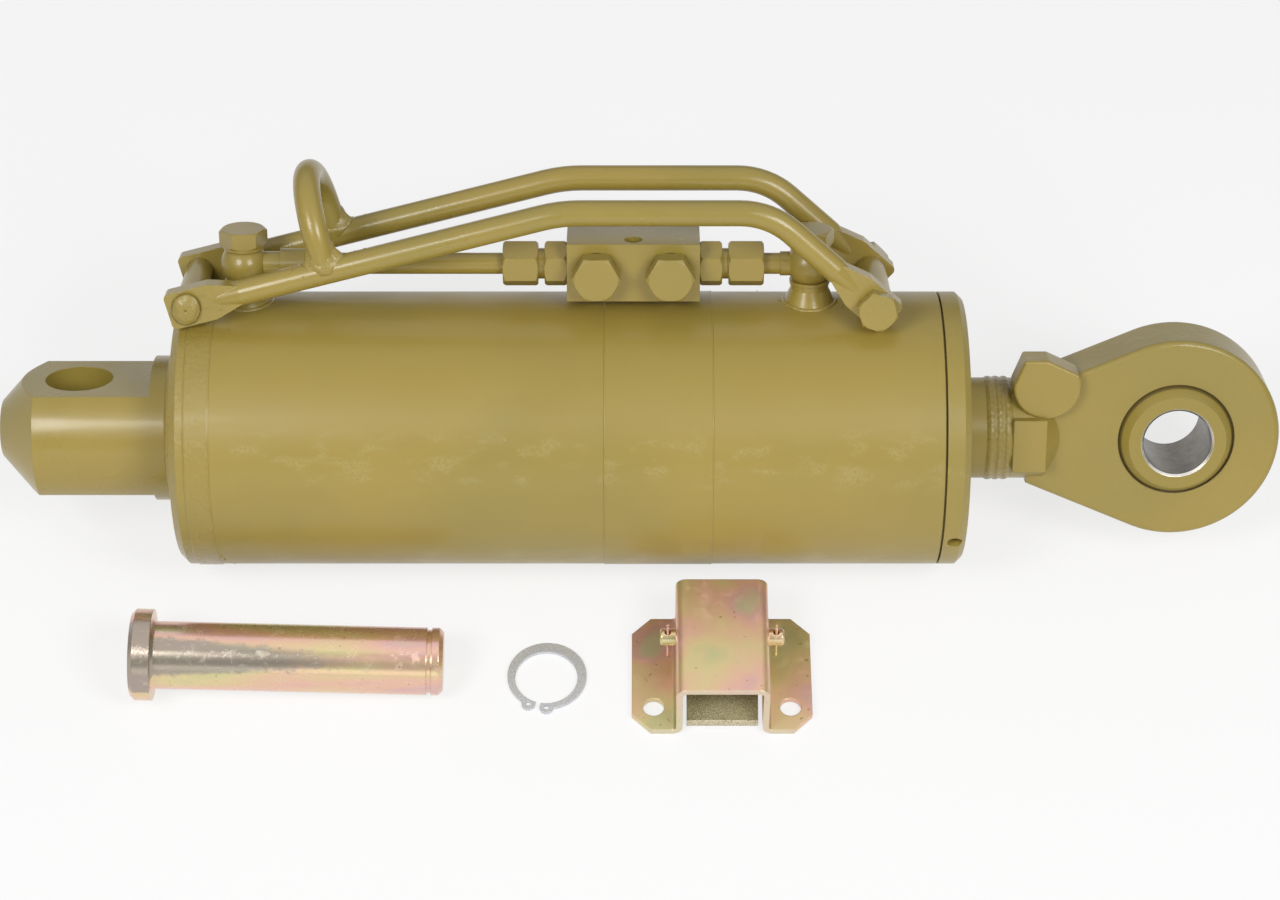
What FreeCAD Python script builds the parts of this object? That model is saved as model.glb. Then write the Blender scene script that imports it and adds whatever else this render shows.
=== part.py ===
import FreeCAD, Part
import math
import os
import re

import Sketcher
from FreeCAD import Placement, Rotation, Vector

# Hydraulic top link for a three-point linkage, with its hitch pin, circlip and catch bracket.
#
# The link's own frame: X runs along the link from the tractor-end bore to the swivel eye, Z points
# to the side of the valve and its guard, and the origin is the centre of the tractor-end bore.
# The whole link lies rolled back about X by the size "lean".  The loose pieces lie beside it on the
# same floor, which touches the underside of the barrel.

os.makedirs("parts", exist_ok=True)
doc = FreeCAD.newDocument("top_link")
sheet = doc.addObject("Spreadsheet::Sheet", "Sizes")

# ---------------------------------------------------------------------------------------------
# Driving sizes, in millimetres and degrees
# ---------------------------------------------------------------------------------------------
SIZES = [
    ("lean", "29", "roll of the link about its long axis as it lies"),
    ("play", "0.3", "clearance between pieces that pass each other"),
    ("fit", "0.05", "radial clearance of a running fit"),
    # barrel and its base
    ("barrel_outer", "130", "outside diameter of the barrel"),
    ("barrel_wall", "15", "wall of the barrel"),
    ("tube_length", "339", "length of the barrel tube"),
    ("band_start", "182", "start of the raised band, from the tube's base end"),
    ("band_width", "50", "length of the raised band"),
    ("band_rise", "0.25", "height of the raised band"),
    ("cap_rim", "7", "length of the base cap outside the tube"),
    ("cap_bevel", "3.5", "bevel round the base cap's face"),
    ("cap_spigot", "18", "length of the base cap inside the weld and tube"),
    ("weld_width", "12", "width of the circular weld at the base"),
    ("weld_rise", "0.4", "crown of a flush weld above the surface"),
    # tractor end
    ("pin_bore", "32", "bore for the hitch pin, at both ends"),
    ("block_outer", "69", "diameter of the round bar of the tractor end"),
    ("block_flats", "50", "size across the tractor end's two flats"),
    ("block_reach", "49", "bore centre to the base cap's face"),
    ("flat_reach", "36", "bore centre to the end of the flats"),
    ("nose_reach", "37", "bore centre to the tip of the nose"),
    ("nose_taper", "18.5", "length of the tapered nose"),
    ("nose_face", "28", "diameter of the nose's flat face"),
    ("block_spigot", "40", "diameter of the spigot in the base cap"),
    ("spigot_length", "12", "length of the spigot in the base cap"),
    ("bead", "3.5", "leg of a fillet weld round the bar"),
    # gland at the rod end
    ("gland_length", "51", "length of the gland inside the tube"),
    ("collar_width", "12", "width of the gland's collar outside the tube"),
    ("collar_gap", "1", "width of the groove between tube and collar"),
    ("gland_bevel", "3", "bevel round the gland's outer face"),
    ("gland_wall", "3", "depth of the groove between tube and collar"),
    ("spanner_hole", "7", "diameter of the pin spanner holes in the collar"),
    ("spanner_angle", "34", "angle of the spanner holes below the joint line"),
    ("bush_wall", "4", "wall of the guide bush"),
    ("bush_length", "17", "length of the guide bush"),
    ("rod_seal_length", "11", "length of the rod seal"),
    ("seal_depth", "7", "radial depth of the rod seal and the wiper"),
    ("wiper_length", "9.5", "length of the wiper"),
    ("land", "3", "land between neighbouring grooves"),
    ("ring_side", "4", "side of the gland's sealing ring"),
    # piston and rod
    ("rod_outer", "48", "diameter of the piston rod"),
    ("rod_show", "11", "rod that shows with the link closed"),
    ("rod_spigot", "32", "diameter of the rod inside the piston"),
    ("end_space", "6", "space left between base cap and piston nut"),
    ("nut_length", "14", "thickness of the piston nut"),
    ("nut_flats", "50", "size across flats of the piston nut"),
    ("piston_length", "36", "length of the piston"),
    ("piston_slack", "0.4", "radial clearance of the piston itself"),
    ("guide_width", "6", "width of a piston guide ring"),
    ("guide_depth", "2.8", "radial depth of a piston guide ring"),
    ("piston_seal_width", "8", "width of the piston seal"),
    ("piston_seal_depth", "6.5", "radial depth of the piston seal"),
    ("piston_ring_step", "4", "distance from a piston face to its first groove"),
    # swivel eye
    ("eye_weld", "12", "width of the weld between rod and eye"),
    ("eye_reach", "78.5", "end of that weld to the centre of the ball"),
    ("eye_outer", "98", "outside diameter of the eye"),
    ("eye_thick", "30", "thickness of the eye"),
    ("eye_round", "2.5", "rounding of the eye's rim"),
    ("eye_neck", "16", "length of the round neck"),
    ("eye_blend", "8", "length over which the neck runs out into the eye"),
    ("eye_socket", "36", "diameter of the rod's spigot in the eye"),
    ("socket_depth", "4", "depth of that spigot in the eye"),
    ("ball_outer", "61", "diameter of the swivel ball"),
    ("ball_width", "40", "width of the swivel ball"),
    ("ball_bevel", "1.2", "bevel of the ball's bore"),
    ("seat_lip", "55", "diameter of the ball seat's mouth"),
    ("lip_depth", "1", "depth of the ball seat's mouth"),
    ("neck_flat", "26", "height of the flats on the neck's sides"),
    ("neck_face", "24.5", "distance of those flats from the middle plane"),
    ("pad_top", "41.5", "height of the forged pad above the axis"),
    ("pad_low", "12.6", "height of the pad's round lower edge above the axis"),
    ("pad_length", "30.5", "length of the forged pad"),
    ("pad_fall", "12.5", "fall of the pad's edge beside the weld"),
    ("pad_step", "7", "fall of the pad's edge beside the eye"),
    ("pad_flat", "11", "length of the pad's flat top"),
    ("pad_edge", "1.4", "rounding of the pad's edges"),
    ("pad_face", "21", "distance of the pad's face from the middle plane"),
    ("pad_thick", "14", "thickness of the forged pad"),
    # oil ports, banjo unions and pipes
    ("port_offset", "7", "base port, measured from the base cap's inner end"),
    ("rod_port_back", "61", "rod port, measured back from the tube's rod end"),
    ("port_hole", "10", "diameter of the port through the tube's wall"),
    ("boss_height", "8.75", "height of a port boss above the barrel"),
    ("boss_base", "27", "diameter at the foot of a port boss"),
    ("boss_top", "18", "diameter at the top of a port boss"),
    ("boss_rim", "2.5", "straight rim at the top of a port boss"),
    ("banjo_outer", "22", "diameter of the banjo's round body"),
    ("banjo_height", "15.5", "height of the banjo's body"),
    ("banjo_neck", "11.4", "diameter of the banjo's neck"),
    ("long_neck", "17", "reach of the base banjo's neck"),
    ("sleeve_outer", "14", "diameter of the base banjo's sleeve"),
    ("sleeve_length", "12", "length of the base banjo's sleeve"),
    ("short_neck", "14", "reach of the rod banjo's neck"),
    ("pipe_seat", "5", "depth that a pipe enters its banjo"),
    ("oil_way", "5", "diameter of the oil ways"),
    ("bolt_shank", "13", "diameter of a banjo bolt's shank"),
    ("bolt_flats", "19.5", "size across flats of a banjo bolt's head"),
    ("bolt_head", "8", "height of a banjo bolt's head"),
    ("bolt_cross", "3", "cross hole of a banjo bolt"),
    ("bolt_space", "0.75", "space between the barrel and the end of a banjo bolt"),
    ("washer_outer", "19", "outside diameter of the sealing washers"),
    ("washer_thick", "1.5", "thickness of the sealing washers"),
    ("pipe_outer", "10", "outside diameter of the pipes"),
    ("pipe_wall", "1.5", "wall of the pipes"),
    # valve block and its fittings
    ("valve_length", "62", "length of the valve block"),
    ("valve_side", "28", "height and depth of the valve block"),
    ("valve_back", "82.7", "middle of the valve block, measured back from the rod port"),
    ("fitting_flats", "19", "size across flats of adapters and union nuts"),
    ("adapter_hex", "10.5", "length of an adapter's hexagon"),
    ("adapter_gap", "3", "neck seen between adapter and union nut"),
    ("adapter_thread", "15.8", "diameter of an adapter's pipe-side thread"),
    ("adapter_nose", "11", "length of an adapter's pipe-side thread"),
    ("stud_outer", "13", "diameter of an adapter's valve-side thread"),
    ("stud_length", "6.5", "length of an adapter's valve-side thread"),
    ("union_length", "16.5", "length of a union nut"),
    ("cutting_length", "3", "length of a cutting ring"),
    ("cutting_taper", "1.5", "length of a cutting ring's taper"),
    ("cavity_outer", "14", "diameter of a check valve cavity"),
    ("cavity_depth", "18", "depth of a check valve cavity"),
    ("stud_space", "0.25", "wall between an adapter's thread and a check valve cavity"),
    ("seat_floor", "2", "wall left behind a check valve's seat hole"),
    ("seat_hole", "7", "diameter of a check valve's seat"),
    ("plug_flats", "20", "size across flats of a check valve plug"),
    ("plug_head", "10", "height of a check valve plug's hexagon"),
    ("plug_seal", "1", "thickness of the seal under a plug"),
    ("plug_roof", "2", "front face of the valve block to the floor of a plug's spring pocket"),
    ("spring_pocket", "8", "diameter of the spring pockets"),
    ("poppet_length", "6", "length of a poppet's guide"),
    ("poppet_tip", "2", "reach of a poppet's tip into its seat"),
    ("poppet_land", "1", "width of the land where a poppet meets its seat"),
    ("poppet_cone", "3", "cavity's floor to the start of a poppet's guide"),
    ("poppet_floor", "4", "cavity's floor to the floor of a poppet's spring pocket"),
    ("poppet_lift", "2.5", "travel of a poppet"),
    ("spring_wire", "0.9", "wire of a check valve spring"),
    ("spring_turns", "4", "turns of a check valve spring"),
    ("gallery", "7", "diameter of the pilot gallery"),
    ("gallery_back", "8.2", "pilot gallery, measured behind the block's middle"),
    ("pilot_length", "20", "length of the pilot piston"),
    ("test_port", "8.5", "diameter of the open port on top of the block"),
    ("test_port_front", "7", "that port, measured forward of the block's middle"),
    ("test_port_depth", "6", "depth of that port"),
    # guard
    ("guard_rod", "12", "diameter of the guard rods"),
    ("guard_spread", "53", "distance between the two guard rods"),
    ("guard_base", "24", "guard's cross bar, measured back from the base port"),
    ("guard_ahead", "33.3", "start of the level run, measured back from the valve block's middle"),
    ("guard_behind", "20", "end of the level run, measured back from the rod port"),
    ("guard_past", "30", "guard bolt, measured past the rod port"),
    ("guard_foot", "6.5", "height of the cross bar and bolt above the barrel"),
    ("guard_over", "33.4", "height of the level run above the pipes"),
    ("guard_bend_low", "70", "bend radius at the valve's base side"),
    ("guard_bend_high", "36", "bend radius at the valve's rod side"),
    ("lug_wide", "17.5", "width of a flattened lug"),
    ("lug_thick", "8", "thickness of a flattened lug"),
    ("lug_end", "9", "centre of a lug's hole to its cut end"),
    ("lug_corner", "2.5", "rounding of a lug's corners"),
    ("lug_flat", "12", "centre of a lug's hole to the end of its flat part"),
    ("lug_length", "26", "centre of a lug's hole to the full round of the rod"),
    ("cross_bar", "12.5", "diameter of the guard's cross bar"),
    ("cross_proud", "2", "end of the cross bar outside the lugs"),
    ("spacer_outer", "15", "diameter of the spacer between the bolted lugs"),
    ("guard_bolt", "10", "diameter of the guard bolt"),
    ("guard_bolt_hole", "10.4", "hole for the guard bolt"),
    ("guard_bolt_flats", "17", "size across flats of the guard bolt and nut"),
    ("guard_bolt_head", "6.5", "height of the guard bolt's head"),
    ("guard_nut", "8", "height of the guard nut"),
    ("bolt_proud", "2", "end of the guard bolt outside its nut"),
    ("loop_rod", "12.5", "diameter of the hose loop's rod"),
    ("loop_place", "67", "hose loop, measured along the rising run"),
    ("loop_height", "39", "height of the hose loop above the rods' centres"),
    # hitch pin and circlip
    ("hitch_outer", "31.8", "diameter of the hitch pin"),
    ("hitch_length", "146", "length of the hitch pin"),
    ("hitch_head", "43", "diameter of the hitch pin's head"),
    ("hitch_head_length", "10", "thickness of the hitch pin's head"),
    ("hitch_neck", "1.5", "bevel between the hitch pin's head and its shank"),
    ("hitch_bevel", "2", "bevel at the ends of the hitch pin"),
    ("groove_outer", "29.8", "diameter at the bottom of the circlip groove"),
    ("groove_width", "2.2", "width of the circlip groove"),
    ("groove_back", "5.5", "circlip groove, measured from the pin's end"),
    ("hitch_x", "28", "hitch pin's head, along the link"),
    ("hitch_y", "102", "hitch pin, in front of the barrel's axis"),
    ("clip_inner", "29.6", "free bore of the circlip"),
    ("clip_width", "5.2", "widest part of the circlip's ring"),
    ("clip_narrow", "2.4", "how much narrower the ring is beside its gap"),
    ("clip_thick", "1.5", "thickness of the circlip"),
    ("clip_lug", "6.4", "diameter of the circlip's lugs"),
    ("clip_eye", "2.5", "hole in the circlip's lugs"),
    ("clip_gap", "2.4", "gap between the circlip's lugs"),
    ("clip_x", "222", "circlip, along the link"),
    ("clip_y", "101", "circlip, in front of the barrel's axis"),
    ("clip_turn", "256", "direction of the circlip's gap"),
    # catch bracket
    ("catch_x", "305", "middle of the catch bracket, along the link"),
    ("catch_y", "132", "front edge of the catch bracket, in front of the barrel's axis"),
    ("catch_sheet", "3", "sheet of the catch bracket"),
    ("catch_width", "43.5", "width over the catch bracket's channel"),
    ("catch_height", "35", "height of the catch bracket"),
    ("catch_depth", "64", "depth of the catch bracket"),
    ("catch_span", "85", "width over the catch bracket's flanges"),
    ("catch_corner", "9", "cut corner of a flange"),
    ("catch_bend", "5", "outside radius of the sheet's bends"),
    ("catch_hole", "10", "fixing hole in a flange"),
    ("catch_holes", "64.5", "distance between the fixing holes"),
    ("catch_hole_front", "13", "fixing holes, measured from the front edge"),
    ("latch_pin", "8", "diameter of the latch pivot pin"),
    ("latch_pin_proud", "7.5", "pivot pin outside each wall of the channel"),
    ("latch_pin_front", "39", "pivot pin, measured from the front edge"),
    ("latch_pin_height", "23", "pivot pin above the floor"),
    ("latch_thick", "3.3", "thickness of the latch flap"),
    ("latch_length", "41.5", "pivot to the free end of the latch flap"),
    ("latch_slope", "30.8", "slope of the closed latch flap"),
    ("latch_side", "2", "space beside the latch flap in the channel"),
    ("knuckle_outer", "14", "outside diameter of the latch flap's knuckle"),
    ("latch_notch", "11", "notch for the spring in the knuckle"),
    ("latch_wire", "1.2", "wire of the latch spring"),
    ("latch_turns", "5", "turns of the latch spring"),
    ("latch_leg", "5", "legs of the latch spring outside the knuckle"),
    ("split_pin", "2.9", "diameter of the split pins"),
    ("split_pin_length", "13", "length of the split pins below their eyes"),
    ("split_eye", "6.6", "width of a split pin's eye"),
]
for row, (alias, value, note) in enumerate(SIZES, start=1):
    sheet.set(f"A{row}", note)
    sheet.set(f"B{row}", value)
    sheet.setAlias(f"B{row}", alias)
doc.recompute()
ALIASES = re.compile(r"\b(" + "|".join(alias for alias, value, note in SIZES) + r")\b")

# Distances along the link that follow from the sizes, each from the tractor-end bore
CAP_RIM_END = "(block_reach + cap_rim)"
TUBE_START = "(block_reach + cap_rim + weld_width)"
TUBE_END = f"({TUBE_START} + tube_length)"
CHAMBER_START = "(block_reach + cap_rim + cap_spigot)"
GLAND_START = f"({TUBE_END} - gland_length)"
COLLAR_END = f"({TUBE_END} + collar_width)"
BASE_PORT = f"({CHAMBER_START} + port_offset)"
ROD_PORT = f"({TUBE_END} - rod_port_back)"
NUT_START = f"({CHAMBER_START} + end_space)"
PISTON_START = f"({NUT_START} + nut_length)"
PISTON_END = f"({PISTON_START} + piston_length)"
ROD_END = f"({COLLAR_END} + rod_show)"
EYE_START = f"({ROD_END} + eye_weld)"
EYE_CENTRE = f"({EYE_START} + eye_reach)"
VALVE_CENTRE = f"({ROD_PORT} - valve_back)"
GUARD_START = f"({BASE_PORT} - guard_base)"
GUARD_HIGH_START = f"({VALVE_CENTRE} - guard_ahead)"
GUARD_HIGH_END = f"({ROD_PORT} - guard_behind)"
GUARD_END = f"({ROD_PORT} + guard_past)"

# Heights above the link's axis, and other distances, that follow in the same way
BARREL_BORE = "(barrel_outer - 2 * barrel_wall)"
BOSS_TOP = "(barrel_outer / 2 + boss_height)"
PIPE_HEIGHT = f"({BOSS_TOP} + washer_thick + banjo_height / 2)"
BANJO_TOP = f"({PIPE_HEIGHT} + banjo_height / 2)"
GUARD_FOOT = "(barrel_outer / 2 + guard_foot)"
GUARD_TOP = f"({PIPE_HEIGHT} + guard_over)"
CAVITY_SPACING = "(valve_length - 2 * (stud_length + stud_space) - cavity_outer)"
PLUG_SHANK = "(cavity_depth - poppet_cone - poppet_length - poppet_lift - play)"
FLOOR = "(0 - barrel_outer / 2)"

# Turns that lay a piece's own X axis up, to the front or back along the link
UP = ("0; 1; 0", "-90")
FRONT = ("0; 0; 1", "-90")
BACK_ALONG = ("0; 0; 1", "180")
AS_MADE = ("0; 0; 1", "0")
AXES = {
    "X": Rotation(Vector(0, 1, 0), 90),
    "Y": Rotation(Vector(1, 0, 0), -90),
    "Z": Rotation(),
}
pieces = []


# ---------------------------------------------------------------------------------------------
# Helpers
# ---------------------------------------------------------------------------------------------
def bound(text):
    """A formula over the sheet's aliases, as the document's own expression."""
    return ALIASES.sub(r"Sizes.\1", text)


def num(text):
    """The value of such a formula now."""
    return float(sheet.evalExpression(bound(text)))


def bind(piece, **formulas):
    for name, text in formulas.items():
        piece.setExpression(name.replace("_", "."), bound(text))
    return piece


def spot(x="0", y="0", z="0", turn=AS_MADE):
    """A placement, written as a formula."""
    axis, angle = turn
    return (f"create(<<placement>>; create(<<vector>>; {x}; {y}; {z});"
            f" create(<<rotation>>; create(<<vector>>; {axis}); {angle}))")


LEANING = spot(turn=("-1; 0; 0", "lean"))


def placed(piece, label, *spots, leaning=True):
    """Name a finished piece and put it in its place, on the link or on the floor."""
    piece.Label = label
    chain = ([LEANING] if leaning else []) + list(spots or [spot()])
    piece.setExpression("Placement", bound(" * ".join(chain)))
    pieces.append(piece)
    return piece


def shifted(piece, *spots):
    """Place an inner shape by formulas, before it is combined."""
    piece.setExpression("Placement", bound(" * ".join(spots)))
    return piece


def plane(body, role):
    return next(item for item in body.Origin.OriginFeatures if item.Role == role)


def turned(name, profile):
    """A body turned about its own X axis, from the (along, radius) corners of its profile."""
    body = doc.addObject("PartDesign::Body", name)
    sketch = body.newObject("Sketcher::SketchObject", name + "_profile")
    sketch.AttachmentSupport = (plane(body, "XY_Plane"), [""])
    sketch.MapMode = "FlatFace"
    corners = [Vector(num(along), num(radius), 0) for along, radius in profile]
    count = len(corners)
    for i in range(count):
        sketch.addGeometry(Part.LineSegment(corners[i], corners[(i + 1) % count]))
    for i in range(count):
        sketch.addConstraint(Sketcher.Constraint("Coincident", i, 2, (i + 1) % count, 1))
    for i, (along, radius) in enumerate(profile):
        for kind, text in (("DistanceX", along), ("DistanceY", radius)):
            index = sketch.addConstraint(Sketcher.Constraint(kind, -1, 1, i, 1, num(text)))
            sketch.setExpression(f"Constraints[{index}]", bound(text))
    turn = body.newObject("PartDesign::Revolution", name + "_turn")
    turn.Profile = sketch
    turn.ReferenceAxis = (sketch, ["H_Axis"])
    turn.Angle = 360
    body.Tip = turn
    return body


def cylinder(name, radius, length, x="0", y="0", z="0", along="Z"):
    piece = doc.addObject("Part::Cylinder", name)
    piece.Placement = Placement(Vector(), AXES[along])
    return bind(piece, Radius=radius, Height=length,
                Placement_Base_x=x, Placement_Base_y=y, Placement_Base_z=z)


def box(name, length, width, height, x="0", y="0", z="0"):
    piece = doc.addObject("Part::Box", name)
    return bind(piece, Length=length, Width=width, Height=height,
                Placement_Base_x=x, Placement_Base_y=y, Placement_Base_z=z)


def fuse(name, *shapes):
    piece = doc.addObject("Part::MultiFuse", name)
    piece.Shapes = list(shapes)
    return piece


def common(name, first, second):
    piece = doc.addObject("Part::Common", name)
    piece.Base = first
    piece.Tool = second
    return piece


def cut(name, base, *tools):
    piece = doc.addObject("Part::Cut", name)
    piece.Base = base
    piece.Tool = tools[0] if len(tools) == 1 else fuse(name + "_tools", *tools)
    return piece


def hexagon(name, flats, start, length, bevel="1.2", spin="0"):
    """A hexagon along X with both rims turned down to its flats."""
    prism = doc.addObject("Part::Prism", name + "_prism")
    prism.Polygon = 6
    bind(prism, Circumradius=f"({flats}) / sqrt(3)", Height=length)
    shifted(prism, spot(x=start, turn=("0; 1; 0", "90")), spot(turn=("0; 0; 1", spin)))
    corner = f"({flats}) / sqrt(3) + 0.1"
    end = f"{start} + {length}"
    rim = turned(name + "_rim", [
        (start, "0"), (start, f"({flats}) / 2"), (f"{start} + {bevel}", corner),
        (f"{end} - {bevel}", corner), (end, f"({flats}) / 2"), (end, "0")])
    return common(name, prism, rim)


def formed(name, shape):
    """A piece whose shape is worked out directly."""
    piece = doc.addObject("Part::Feature", name)
    piece.Shape = shape
    return piece


def bent_bar(points, bends, diameter):
    """A round bar along straight runs joined by tangent arcs, one bend for each inner point."""
    edges = []
    start = points[0]
    for before, corner, after, bend in zip(points, points[1:], points[2:], bends):
        back = (before - corner).normalize()
        on = (after - corner).normalize()
        half = back.getAngle(on) / 2
        reach = bend / math.tan(half)
        entry = corner + back * reach
        leave = corner + on * reach
        middle = (back + on).normalize()
        crown = corner + middle * (bend / math.sin(half) - bend)
        edges.append(Part.LineSegment(start, entry).toShape())
        edges.append(Part.Arc(entry, crown, leave).toShape())
        start = leave
    edges.append(Part.LineSegment(start, points[-1]).toShape())
    section = Part.makeCircle(diameter / 2, points[0], points[1] - points[0])
    return Part.Wire(edges).makePipeShell([Part.Wire(section)], True, False)


def coil(turns, pitch, radius, wire, leg=0):
    """A wound spring standing on Z.  Each half turn is a tilted arc, so they all meet along Y, and
    straight legs of the same wire can carry on from both ends."""
    ends = [Vector(-radius if i % 2 else radius, 0, i * pitch / 2) for i in range(2 * turns + 1)]
    reach = math.hypot(radius, pitch / 4)
    edges = []
    for i, (low, high) in enumerate(zip(ends, ends[1:])):
        crown = (low + high) / 2 + Vector(0, -reach if i % 2 else reach, 0)
        edges.append(Part.Arc(low, crown, high).toShape())
    start = ends[0] - Vector(0, leg, 0)
    if leg:
        edges.insert(0, Part.LineSegment(start, ends[0]).toShape())
        edges.append(Part.LineSegment(ends[-1], ends[-1] + Vector(0, leg, 0)).toShape())
    section = Part.makeCircle(wire / 2, start, Vector(0, 1, 0))
    return Part.Wire(edges).makePipeShell([Part.Wire(section)], True, False)


def slab(corners, direction):
    """A flat outline drawn out along a direction."""
    return Part.Face(Part.makePolygon(corners + corners[:1])).extrude(direction)


# ---------------------------------------------------------------------------------------------
# Barrel: tube, base cap, weld and tractor end
# ---------------------------------------------------------------------------------------------
def barrel():
    outer = "barrel_outer / 2"
    bore = f"{BARREL_BORE} / 2"
    band = f"({TUBE_START} + band_start)"
    tube = turned("tube", [
        (TUBE_START, bore), (TUBE_START, outer), (band, outer), (band, f"{outer} + band_rise"),
        (f"{band} + band_width", f"{outer} + band_rise"), (f"{band} + band_width", outer),
        (TUBE_END, outer), (TUBE_END, bore)])
    ports = [cylinder(f"tube_port_{i}", "port_hole / 2", outer, x=x, z=f"{BARREL_BORE} / 4")
             for i, x in enumerate((BASE_PORT, ROD_PORT))]
    placed(cut("tube_cut", tube, *ports), "barrel_tube")

    placed(turned("cap", [
        ("block_reach", "block_spigot / 2"), ("block_reach", f"{outer} - cap_bevel"),
        ("block_reach + cap_bevel", outer), (CAP_RIM_END, outer), (CAP_RIM_END, bore),
        (CHAMBER_START, bore), (CHAMBER_START, "0"), ("block_reach + spigot_length", "0"),
        ("block_reach + spigot_length", "block_spigot / 2")]), "base_cap")

    placed(turned("base_weld", [
        (CAP_RIM_END, bore), (CAP_RIM_END, outer), (f"{CAP_RIM_END} + 1", f"{outer} + weld_rise"),
        (f"{TUBE_START} - 1", f"{outer} + weld_rise"), (TUBE_START, outer), (TUBE_START, bore)]),
        "base_weld_ring")


def tractor_end():
    radius = "block_outer / 2"
    bar = turned("bar", [
        ("0 - nose_reach", "0"), ("0 - nose_reach", "nose_face / 2"),
        ("nose_taper - nose_reach", radius), ("block_reach", radius),
        ("block_reach", "block_spigot / 2"), ("block_reach + spigot_length", "block_spigot / 2"),
        ("block_reach + spigot_length", "0")])
    length = "nose_reach + flat_reach + 1"
    flats = [
        box("flat_top", length, "block_outer + 2", "block_outer / 2", x="0 - nose_reach - 1",
            y="0 - block_outer / 2 - 1", z="block_flats / 2"),
        box("flat_under", length, "block_outer + 2", "block_outer / 2", x="0 - nose_reach - 1",
            y="0 - block_outer / 2 - 1", z="0 - block_flats / 2 - block_outer / 2"),
    ]
    bore = cylinder("tractor_bore", "pin_bore / 2", "block_flats + 2", z="0 - block_flats / 2 - 1")
    placed(cut("bar_cut", bar, *flats, bore), "tractor_end_block")
    placed(turned("end_bead", [
        ("block_reach - bead", radius), ("block_reach", f"{radius} + bead"),
        ("block_reach", radius)]), "tractor_end_weld")


# ---------------------------------------------------------------------------------------------
# Gland at the rod end, with its bush and seals
# ---------------------------------------------------------------------------------------------
def gland():
    outer = "barrel_outer / 2"
    bore = f"{BARREL_BORE} / 2"
    rod = "rod_outer / 2"
    clear = f"{rod} + 1"
    deep = f"{rod} + seal_depth"
    wiper_start = f"({COLLAR_END} - wiper_length)"
    bush_end = f"({wiper_start} - land)"
    bush_start = f"({bush_end} - bush_length)"
    seal_end = f"({bush_start} - land)"
    seal_start = f"({seal_end} - rod_seal_length)"
    ring_start = f"({GLAND_START} + land)"
    body = turned("gland", [
        (GLAND_START, clear), (GLAND_START, bore), (ring_start, bore),
        (ring_start, f"{bore} - ring_side"), (f"{ring_start} + ring_side", f"{bore} - ring_side"),
        (f"{ring_start} + ring_side", bore), (TUBE_END, bore), (TUBE_END, f"{outer} - gland_wall"),
        (f"{TUBE_END} + collar_gap", f"{outer} - gland_wall"), (f"{TUBE_END} + collar_gap", outer),
        (f"{COLLAR_END} - gland_bevel", outer), (COLLAR_END, f"{outer} - gland_bevel"),
        (COLLAR_END, deep),
        (wiper_start, deep), (wiper_start, clear), (bush_end, clear),
        (bush_end, f"{rod} + bush_wall"), (bush_start, f"{rod} + bush_wall"), (bush_start, clear),
        (seal_end, clear), (seal_end, deep), (seal_start, deep), (seal_start, clear)])
    middle = f"({TUBE_END} + collar_gap + (collar_width - collar_gap) / 2)"
    holes = []
    for i, half_turn in enumerate(("0", "180")):
        hole = cylinder(f"spanner_{i}", "spanner_hole / 2", "8")
        shifted(hole, spot(x=middle, turn=("1; 0; 0", f"90 + spanner_angle + {half_turn}")),
                spot(z=f"{outer} - 6"))
        holes.append(hole)
    placed(cut("gland_cut", body, *holes), "gland_nut")

    ring = [("guide_bush", bush_start, bush_end, f"{rod} + bush_wall"),
            ("rod_seal", seal_start, seal_end, deep),
            ("rod_wiper", wiper_start, COLLAR_END, deep)]
    for label, start, end, radius in ring:
        placed(turned(label + "_ring", [
            (start, f"{rod} + fit"), (start, radius), (end, radius), (end, f"{rod} + fit")]), label)
    placed(turned("gland_ring", [
        (ring_start, f"{bore} - ring_side"), (ring_start, bore),
        (f"{ring_start} + ring_side", bore), (f"{ring_start} + ring_side", f"{bore} - ring_side")]),
        "gland_o_ring")


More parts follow.
